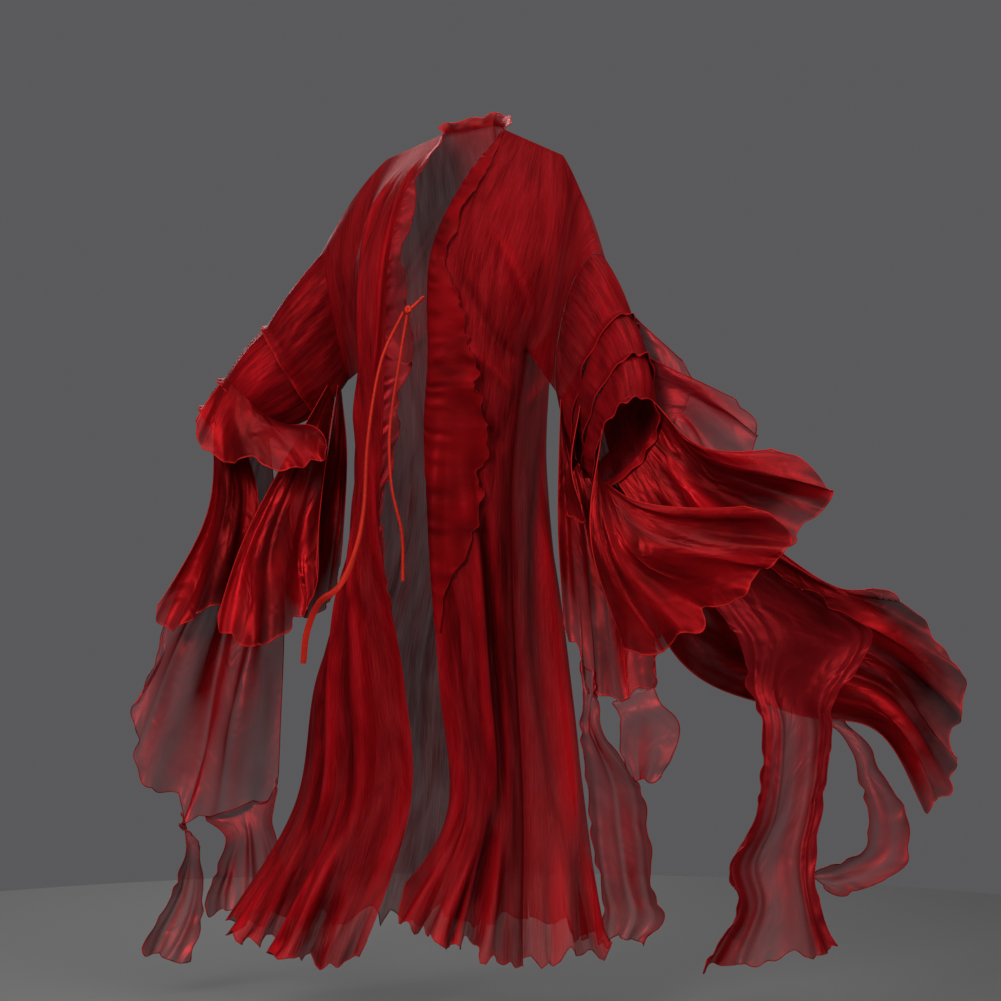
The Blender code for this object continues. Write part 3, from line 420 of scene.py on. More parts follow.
# A grid primitive moved to the points, with its hems rolled, riding and replacing its node.
def sew(name, grid, piece, outward, fold=None, hems=("end",), seamGap=None, keep=None, closed=False):
    columns, rows = grid.shape[0] - 1, grid.shape[1] - 1
    bpy.ops.object.select_all(action="DESELECT")
    bpy.ops.mesh.primitive_grid_add(x_subdivisions=columns, y_subdivisions=rows, size=1)
    cloth = bpy.context.active_object
    cloth.name = name
    mesh = cloth.data
    flat = np.empty(len(mesh.vertices) * 3)
    mesh.vertices.foreach_get("co", flat)
    flat = flat.reshape(-1, 3)
    column = np.rint((flat[:, 0] + 0.5) * columns).astype(int)
    row = np.rint((flat[:, 1] + 0.5) * rows).astype(int)
    mesh.vertices.foreach_set("co", grid[column, row].ravel())
    across, along = runAlong(grid, 0), runAlong(grid, 1)
    width = across[-1].max()
    place = np.linspace(0, 1, columns + 1)[:, None] * np.ones((1, rows + 1))
    far = np.full((columns + 1, rows + 1), 1.0)
    toHem = {"end": along[:, -1:] - along, "left": across, "right": across[-1:] - across}
    for side in hems:
        far = np.minimum(far, toHem[side])
    hem = np.clip(1 - far / bands["hem"], 0, 1)
    seam = np.zeros_like(far) if seamGap is None else np.clip(1.3 - seamGap / bands["seam"], 0, 1)
    fold = np.zeros_like(far) if fold is None else fold
    # The fold height, turned into painted shade for troughs and painted highlight for ridges
    paintedFoldShade = np.clip(0.5 + fold / bands["fold"], 0, 1)
    grain = np.stack((place * width, along + 0.37 * len(finished), place * 0 + len(finished)), -1)
    if "bias" in piece:  # the crinkle runs at a slant here
        turn = math.radians(piece["bias"])
        slanted = grain.copy()
        slanted[..., 0] = grain[..., 0] * math.cos(turn) - grain[..., 1] * math.sin(turn)
        slanted[..., 1] = grain[..., 0] * math.sin(turn) + grain[..., 1] * math.cos(turn)
        grain = slanted
    spacing = np.maximum(np.linalg.norm(np.gradient(grid, axis=0), axis=-1), bands["spacing"])
    doubled = np.clip(1.3 * abs(np.gradient(fold, axis=0)) / spacing - 0.15, 0, 1)
    thin = np.zeros_like(far) + piece.get("thin", (along / along[:, -1:]) ** piece.get("thinning", 2))
    label(mesh, grain[column, row], np.stack((hem, seam, paintedFoldShade), -1)[column, row],
          np.stack((thin, doubled, thin * 0), -1)[column, row])
    normal = squareTo(grid)
    turned = (normal * np.asarray(outward)).sum(-1)
    if (turned if keep is None else turned[keep]).mean() < 0:
        mesh.flip_normals()
    if keep is not None or closed:
        shape = bmesh.new()
        shape.from_mesh(mesh)
        shape.verts.ensure_lookup_table()
        if keep is not None:
            outside = [shape.verts[index] for index in np.flatnonzero(~keep[column, row])]
            bmesh.ops.delete(shape, geom=outside, context="VERTS")
        if closed:
            bmesh.ops.remove_doubles(shape, verts=shape.verts, dist=0.00005)
        shape.to_mesh(mesh)
        shape.free()
    edges = {"end": (slice(None), -1), "left": (0, slice(None)), "right": (-1, slice(None))}
    points, faces = [], []
    for side in hems:
        path, square = grid[edges[side]], normal[edges[side]]
        if keep is not None:
            kept = keep[edges[side]]
            path, square = path[kept], square[kept]
        ringPoints, ringFaces = rolledHem(path, square, piece.get("roll", bands["roll"]))
        base = sum(len(group) for group in points)
        faces += [tuple(base + index for index in face) for face in ringFaces]
        points.append(ringPoints)
    if points:
        rollMesh = bpy.data.meshes.new(name + "_roll")
        rollMesh.from_pydata(np.concatenate(points).tolist(), [], faces)
        count = len(rollMesh.vertices)
        hemTrim = np.tile((1.0, 0.0, 0.5), (count, 1))
        label(rollMesh, np.concatenate(points), hemTrim, np.zeros((count, 3)))
        shape = bmesh.new()
        shape.from_mesh(rollMesh)
        bmesh.ops.recalc_face_normals(shape, faces=shape.faces)
        shape.to_mesh(rollMesh)
        shape.free()
        roll = bpy.data.objects.new(name + "_roll", rollMesh)
        bpy.context.collection.objects.link(roll)
        roll.select_set(True)
        cloth.select_set(True)
        bpy.context.view_layer.objects.active = cloth
        bpy.ops.object.join()
    bpy.ops.object.shade_smooth()
    cloth.data.materials.clear()
    cloth.data.materials.append(piece.get("stuff", slotCloth[piece["slot"]]))
    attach(cloth, "root")
    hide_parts(piece["node"])
    area = sum(face.area for face in cloth.data.polygons)
    wide, long = max(across[-1, 0], across[-1, -1], across[-1, rows // 2]), along[:, -1].max()
    if keep is not None:
        skirt, yoke = grid[:bodyCells + 1], grid[:, :armpitRow]
        wide = max(runAlong(skirt, 0)[-1].max(), runAlong(yoke, 0)[-1].max())
    print(f"CUT {name} {wide:.3f} x {long:.3f} area {area:.4f} faces {len(cloth.data.polygons)}")
    finished[name] = grid


# Sleeve seams: top of the ring, bottom of the ring, half its width
ringsLeft = (
    ((198, 240, -232), (138, 160, -458), 34), ((240, 290, -329), (160, 250, -537), 36),
    ((261, 340, -396), (176, 310, -577), 38), ((265, 390, -468), (196, 370, -593), 38))
ringsRight = (
    ((-258, -100, -199), (-215, -100, -420), 40), ((-354, -110, -326), (-265, -110, -471), 40),
    ((-426, -120, -416), (-322, -120, -500), 40), ((-459, -130, -462), (-394, -130, -535), 38))


def ringCentre(rings, arm):
    return (spot(rings[arm][0]) + spot(rings[arm][1])) / 2


# Points of a sleeve seam's ring. The angle runs from the top over the back.
def ring(rings, arm, angle):
    centre = ringCentre(rings, arm)
    rise, halfWide = spot(rings[arm][0]) - centre, rings[arm][2] / 1000
    first = min(arm, len(rings) - 2)
    back = unit(np.cross(ringCentre(rings, first + 1) - ringCentre(rings, first), rise))
    if back[1] < 0:
        back = -back
    turn = np.radians(angle)[..., None]
    return centre + rise * np.cos(turn) + back * halfWide * (1 + 0.25 * np.cos(turn)) * np.sin(turn)


# Sleeve tiers: gathers as angle, lean, half width in degrees, height
tiers = {
    "puff": 0.004, "drawnIn": 0.002, "lip": 0.011, "flare": 0.005, "slot": "red_chiffon", "bias": 8,
    "thin": 0.1,
    "cuts": {"left": ((0.550, 0.140, 0.065), (0.515, 0.100, 0.0450), (0.455, 0.097, 0.0364)),
             "right": ((0.500, 0.170, 0.057), (0.405, 0.130, 0.0419), (0.345, 0.095, 0.0278))},
    "gathers": (
        (12, 6, 7, 0.0030), (33, -4, 6, 0.0022), (51, 8, 9, 0.0036), (78, 3, 6, 0.0020),
        (97, -6, 8, 0.0032),
        (121, 5, 7, 0.0024), (146, 9, 9, 0.0034), (171, -5, 6, 0.0022), (196, 4, 8, 0.0030),
        (224, 8, 7, 0.0026),
        (246, -7, 9, 0.0036), (271, 5, 6, 0.0022), (293, -3, 8, 0.0032), (318, 7, 7, 0.0026),
        (341, -6, 8, 0.0030)),
}


# Points of a tier, at angles and parts of its length given as equal arrays.
def tierPoint(rings, number, angle, part):
    near = ring(rings, number, angle)
    near = near + unit(ringCentre(rings, number) - near) * tiers["drawnIn"]
    point = near + (ring(rings, number + 1, angle) - near) * part[..., None]
    start, finish = ringCentre(rings, number), ringCentre(rings, number + 1)
    middle = start + (finish - start) * part[..., None]
    out = tiers["puff"] * arch(part)
    for centre, lean, halfWidth, high in tiers["gathers"]:
        aside = (angle - centre - 40 * number - lean * part + 180) % 360 - 180
        out = out + high * (0.45 + 0.55 * arch(part)) * np.exp(-(aside / halfWidth) ** 2)
    return point + unit(point - middle) * out[..., None]


# Points just outside a tier's cloth.
def seat(rings, number, part, angle):
    angle = np.asarray(angle, float) % 360
    part = np.full_like(angle, part)
    start, finish = ringCentre(rings, number), ringCentre(rings, number + 1)
    middle = start + (finish - start) * part[..., None]
    point = tierPoint(rings, number, angle, part)
    return point + unit(point - middle) * 0.0012


def sleeveTier(side, rings, number):
    angle, part = np.meshgrid(np.linspace(-180, 180, 129), np.linspace(0, 1, 22), indexing="ij")
    body = tierPoint(rings, number, angle, part)
    ahead = unit(ringCentre(rings, number + 1) - ringCentre(rings, number))
    away = unit(body[:, -1] - ringCentre(rings, number + 1))
    turn = np.radians(angle[:, 0])
    wave = np.sin(12 * turn + 0.9 * np.sin(2 * turn + number))
    wave = wave * (0.6 + 0.4 * np.sin(3 * turn + 2 * number))
    rows = [body[:, row] for row in range(body.shape[1])]
    for step in range(1, 6):  # the seam's own small ruffle
        reach = step / 5
        rows.append(body[:, -1] + ahead * tiers["lip"] * reach
                    + away * (tiers["flare"] * reach + 0.0045 * wave * reach ** 2)[:, None])
    grid = np.stack(rows, 1)
    gap = np.minimum(runAlong(grid, 1), abs(runAlong(grid, 1) - runAlong(grid, 1)[:, 21:22]))
    fold = np.concatenate((np.linalg.norm(body - tierFlat(rings, number, angle, part), axis=-1) - 0.004,
                           np.repeat(0.004 * wave[:, None], 5, 1)), 1)
    piece = dict(tiers, node=f"sleeve_{side}_tier_{number + 1}", cut=tiers["cuts"][side][number])
    outward = unit(grid - ringCentre(rings, number))
    name = f"sleeve{side.capitalize()}Tier{number + 1}"
    sew(name, grid, piece, outward, fold, ("end",), gap, closed=True)


def tierFlat(rings, number, angle, part):
    near = ring(rings, number, angle)
    return near + (ring(rings, number + 1, angle) - near) * part[..., None]


# Body panels, at nine levels: shoulder, collar, chest, armpit, waist, hip, thigh, knee, hem
sideLeft = [
    (145, 90, -60), (152, 128, -150), (128, 138, -270), (86, 110, -380), (64, 105, -550),
    (62, 110, -725), (70, 110, -920), (80, 110, -1130), (78, 112, -1380)]
sideRight = [
    (-150, -100, -45), (-178, -70, -140), (-186, -50, -260), (-165, -70, -380), (-162, -60, -550),
    (-190, -45, -725), (-265, -20, -920), (-300, 0, -1130), (-410, 30, -1320)]
centreBack = [
    (30, -50, 8), (45, -75, -100), (55, -92, -220), (60, -100, -380), (60, -100, -550),
    (65, -100, -725), (75, -100, -920), (85, -100, -1130), (90, -100, -1340)]
# Creases: (part across, row) to (part across, row), half width and height in millimetres. Rows:
# armpit 8, hem 20. What the four share comes first
panelShared = {"thinning": 7, "slot": "red_chiffon", "held": "draped", "neck": None}
frontLeft = {
    "cut": (0.485, 1.365, 0.282), "node": "front_left", "rings": ringsLeft, "overBack": False,
    "edge": [
        (48, 30, -10), (-18, 72, -100), (-72, 105, -225), (-76, 112, -400), (-82, 108, -530),
        (-66, 112, -725), (-50, 115, -920), (-40, 120, -1130), (-150, 130, -1300)],
    "side": sideLeft, "rounding": (0, 12, 20, 26, 24, 30, 36, 42, 45), "outward": wind((0.1, 1, 0)),
    "folds": (2.5, 0.016, 0.10), "wide": 0.20, "bias": 14, "hemWaves": (5.5, 0.012, 0.3),
    "creases": (
        ((1.02, 7.4), (0.30, 3.6), 12, 5.5), ((1.00, 8.4), (0.22, 5.6), 11, -5),
        ((0.98, 9.2), (0.28, 7.6), 12, 5), ((0.95, 10.4), (0.40, 9.0), 13, -4.5),
        ((0.24, 9.0), (0.20, 20), 15, 11), ((0.46, 9.5), (0.50, 20), 18, -13),
        ((0.70, 10.0), (0.78, 20), 16, 11), ((0.36, 13.0), (0.36, 20), 10, 7),
        ((0.88, 11.5), (0.92, 20), 12, -8), ((0.08, 12.0), (0.05, 20), 12, -7))}
frontRight = {
    "cut": (0.620, 1.470, 0.358), "node": "front_right", "rings": ringsRight, "overBack": False,
    "edge": [
        (-52, -30, -10), (-108, 35, -100), (-140, 78, -225), (-147, 90, -385), (-150, 92, -530),
        (-155, 98, -700), (-115, 105, -920), (-105, 112, -1130), (-195, 120, -1395)],
    "side": sideRight, "rounding": (0, 30, 60, 68, 66, 68, 60, 50, 45), "outward": np.array((0, -1, 0)),
    "folds": (2.5, 0.022, 0.35), "wide": 0.26, "bias": -12, "hemWaves": (6.5, 0.014, 0.1),
    "creases": (
        ((0.12, 1.0), (0.16, 9.0), 9, 8), ((0.30, 1.4), (0.30, 10.0), 11, -8.5),
        ((0.50, 1.0), (0.44, 11.0), 11, 10), ((0.70, 2.0), (0.58, 10.5), 11, -8),
        ((0.88, 3.0), (0.72, 12.0), 12, 8.5), ((0.18, 9.6), (0.10, 20), 14, 13),
        ((0.32, 10.5), (0.25, 20), 13, -14), ((0.44, 11.0), (0.42, 20), 15, 15),
        ((0.58, 10.5), (0.58, 20), 14, -15), ((0.72, 11.5), (0.74, 20), 15, 14),
        ((0.84, 12.5), (0.88, 20), 12, -10), ((0.50, 14.0), (0.52, 20), 8, 7))}
backLeft = {
    "cut": (0.580, 1.390, 0.426), "node": "back_left", "stuff": backChiffonPaintedLight, "rings": ringsLeft,
    "overBack": True, "edge": centreBack,
    "side": [sideLeft[0], (178, 50, -150), (165, 45, -270)] + sideLeft[3:],
    "rounding": (0, 30, 46, 52, 55, 68, 80, 98, 125), "outward": wind((1, 0.1, 0)),
    "folds": (2.0, 0.018, 0.05), "neck": (48, 30, -10), "wide": 0.24, "bias": 6,
    "hemWaves": (6.0, 0.013, 0.6),
    "creases": (
        ((0.98, 6.8), (0.30, 2.6), 13, 6), ((1.00, 8.0), (0.20, 5.0), 12, -5.5),
        ((0.96, 9.4), (0.35, 8.0), 13, 5), ((0.14, 6.0), (0.12, 20), 16, 11),
        ((0.30, 8.0), (0.28, 20), 15, -13), ((0.47, 9.5), (0.46, 20), 17, 14),
        ((0.63, 9.0), (0.66, 20), 14, -12), ((0.80, 10.5), (0.84, 20), 16, 12),
        ((0.93, 12.0), (0.94, 20), 11, -8))}
backRight = {
    "cut": (0.805, 1.385, 0.490), "node": "back_right", "stuff": backChiffonPaintedLight, "rings": ringsRight,
    "overBack": True, "edge": centreBack,
    "side": [sideRight[0], (-165, -155, -140), (-165, -150, -260)] + sideRight[3:],
    "rounding": (0, 22, 40, 50, 50, 58, 60, 60, 60), "outward": wind((0, -1, 0)),
    "folds": (2.0, 0.020, 0.45), "neck": (-52, -30, -10), "wide": 0.34, "bias": -6,
    "hemWaves": (7.5, 0.013, 0.8),
    "creases": (
        ((0.95, 6.5), (0.30, 2.4), 13, 6), ((1.00, 8.2), (0.25, 5.2), 12, -5.5),
        ((0.10, 5.0), (0.09, 20), 16, -11), ((0.25, 8.0), (0.22, 20), 17, 14),
        ((0.40, 9.0), (0.38, 20), 15, -13), ((0.54, 8.5), (0.55, 20), 18, 15),
        ((0.68, 10.5), (0.70, 20), 14, -12), ((0.82, 9.5), (0.85, 20), 17, 13),
        ((0.93, 12.0), (0.95, 20), 11, -8))}
yokeRows, skirtRows, yokeRow, skirtRow = 8, 12, 0.046, 0.080  # above and below the armpit, metres a row
bodyCells, sleeveCells, armpitRow, skirtCells = 58, 26, 80, 204
armpitLevel, hemLevel = 3, 8
neckShare = 3 / 8  # of a panel's top edge, its neckline
panelRows = np.concatenate((np.linspace(0, yokeRows, armpitRow + 1),
                            np.linspace(yokeRows, yokeRows + skirtRows, skirtCells + 1)[1:]))
rowMetres = np.where(panelRows <= yokeRows, panelRows * yokeRow,
                     yokeRows * yokeRow + (panelRows - yokeRows) * skirtRow)
panelHem = {  # how far up it reaches, how the folds open there, its waves, drop, corner, lobes and curls
    "reach": 0.20, "open": 0.40, "wave": 1.3, "drop": 0.010, "corner": 0.060, "lobes": (0.21, 0.014, 0.09),
    "curls": (0.085, 0.0050, 0.03)}


# A seam at levels, which may turn a corner at the armpit.
def seamLine(places, at):
    points = spot(places)
    upper = spline(points[:armpitLevel + 1], np.minimum(at, armpitLevel))
    lower = spline(points[armpitLevel:], np.maximum(at - armpitLevel, 0))
    return np.where((at <= armpitLevel)[:, None], upper, lower)


def bodyPanel(name, panel):
    lower = armpitLevel + (hemLevel - armpitLevel) * (panelRows - yokeRows) / skirtRows
    at = np.where(panelRows <= yokeRows, armpitLevel * panelRows / yokeRows, lower)
    inner, outer = seamLine(panel["edge"], at), seamLine(panel["side"], at)
    bow = np.interp(at, range(hemLevel + 1), fromMm(panel["rounding"]))
    count, depth, start = panel["folds"]
    part = np.linspace(0, 1, bodyCells + 1)[:, None]
    deepening = depth * np.maximum(0, at - 1)[None] / (hemLevel - 1)
    fold = deepening * np.sin(2 * math.pi * (count * part + start))
    out = (bow[None] + fold) * arch(part)
    body = inner[None] + (outer - inner)[None] * part[..., None] + out[..., None] * unit(panel["outward"])
    if panel["neck"]:
        centre, neck, tip = spot(panel["edge"][0]), spot(panel["neck"]), spot(panel["side"][0])
        near = centre + (neck - centre) * np.minimum(part / neckShare, 1)
        near = near + unit((centre + neck) * (1, 1, 0)) * 0.009 * arch(np.minimum(part / neckShare, 1))
        beyond = neck + (tip - neck) * (part - neckShare) / (1 - neckShare)
        dropped = np.where(part < neckShare, near, beyond) - (centre + (tip - centre) * part)
        body += dropped[:, None] * (np.clip(1 - panelRows / yokeRows, 0, 1) ** 2)[None, :, None]
    angle = 180 * np.minimum(panelRows, yokeRows) / yokeRows
    angle = angle if panel["overBack"] else 360 - angle
    wrist = ring(panel["rings"], 0, angle)
    away = unit(wrist - ringCentre(panel["rings"], 0))
    puff = 0.012 * (1 + np.cos(np.radians(angle))) / 2
    reach = np.linspace(0, 1, sleeveCells + 1)[1:, None, None]
    anchor = np.where((panelRows <= yokeRows)[:, None], outer, outer[armpitRow])
    arm = anchor[None] + (wrist - anchor)[None] * reach + (away * puff[:, None])[None] * arch(reach)
    grid = np.concatenate((body, arm))
    keep = np.ones(grid.shape[:2], bool)
    keep[bodyCells + 1:, armpitRow + 1:] = False
    held = ~keep
    held[[0, -1]] = True
    held[:, [0, -1]] = True
    held[bodyCells, armpitRow:] = True
    held[bodyCells:, armpitRow] = True
    for _ in range(50):  # ease the corner at the armhole
        mean = grid.copy()
        mean[1:-1] = (grid[:-2] + 2 * grid[1:-1] + grid[2:]) / 4
        mean[:, 1:-1] = (mean[:, :-2] + 2 * mean[:, 1:-1] + mean[:, 2:]) / 4
        grid = np.where(held[..., None], grid, mean)
    acrossPart = np.concatenate((part[:, 0], 1 + np.linspace(0, 1, sleeveCells + 1)[1:] * 0.5))[:, None]
    across = acrossPart * panel["wide"] * np.ones_like(rowMetres)
    along = rowMetres[None] * np.ones_like(acrossPart)
    creases = [((a * panel["wide"], np.interp(r, panelRows, rowMetres)),
                (b * panel["wide"], np.interp(e, panelRows, rowMetres)), halfWidth / 1000, high / 1000)
               for (a, r), (b, e), halfWidth, high in panel["creases"]]
    gap = np.minimum(along, np.hypot(np.maximum(0, panel["wide"] - across), along - rowMetres[armpitRow]))
    gap[:bodyCells + 1, armpitRow:] = (panel["wide"] - across)[:bodyCells + 1, armpitRow:]
    fromSeam = np.minimum(along, rowMetres[armpitRow] - along)
    gap[bodyCells:, :armpitRow + 1] = fromSeam[bodyCells:, :armpitRow + 1]
    gap = np.minimum(gap, (across[-1:] - across) + np.where(keep, 0, 1))
    if panel["neck"]:
        gap = np.minimum(gap, across)
    hemPart = ease((along - (rowMetres[-1] - panelHem["reach"])) / panelHem["reach"])
    count, high, start = panel["hemWaves"]
    outs = creased(grid, across, along, creases) * (1 - panelHem["open"] * hemPart ** 2)
    outs += panelHem["wave"] * high * hemPart ** 2 * uneven(count * acrossPart + start)
    outs *= ease(gap / 0.03)
    square = squareTo(grid)
    if (square[keep] * unit(panel["outward"])).sum(-1).mean() < 0:
        square = -square
    grid = grid + square * outs[..., None]
    drop = panelHem["drop"] * hemPart ** 2 * uneven(1.7 * count * acrossPart + start)
    grid[..., 2] -= drop * ease(gap / 0.02)
    hemBand = grid[:bodyCells + 1, armpitRow:]
    hemBand = hemBand if panel["overBack"] else cornered(hemBand, panelHem["corner"], both=False)
    hemBand = scalloped(hemBand, *panelHem["lobes"], start)
    grid[:bodyCells + 1, armpitRow:] = curled(hemBand, *panelHem["curls"])
    finished[name + "Open"] = grid
    sew(name, grid, panel, square, outs, ("end",), gap, keep)


bodyPanel("frontLeft", dict(panelShared, **frontLeft))
bodyPanel("frontRight", dict(panelShared, **frontRight))
bodyPanel("backLeft", dict(panelShared, **backLeft))
bodyPanel("backRight", dict(panelShared, **backRight))
print("panels sewn")
for number in range(3):
    sleeveTier("left", ringsLeft, number)
    sleeveTier("right", ringsRight, number)
print("sleeve tiers sewn")

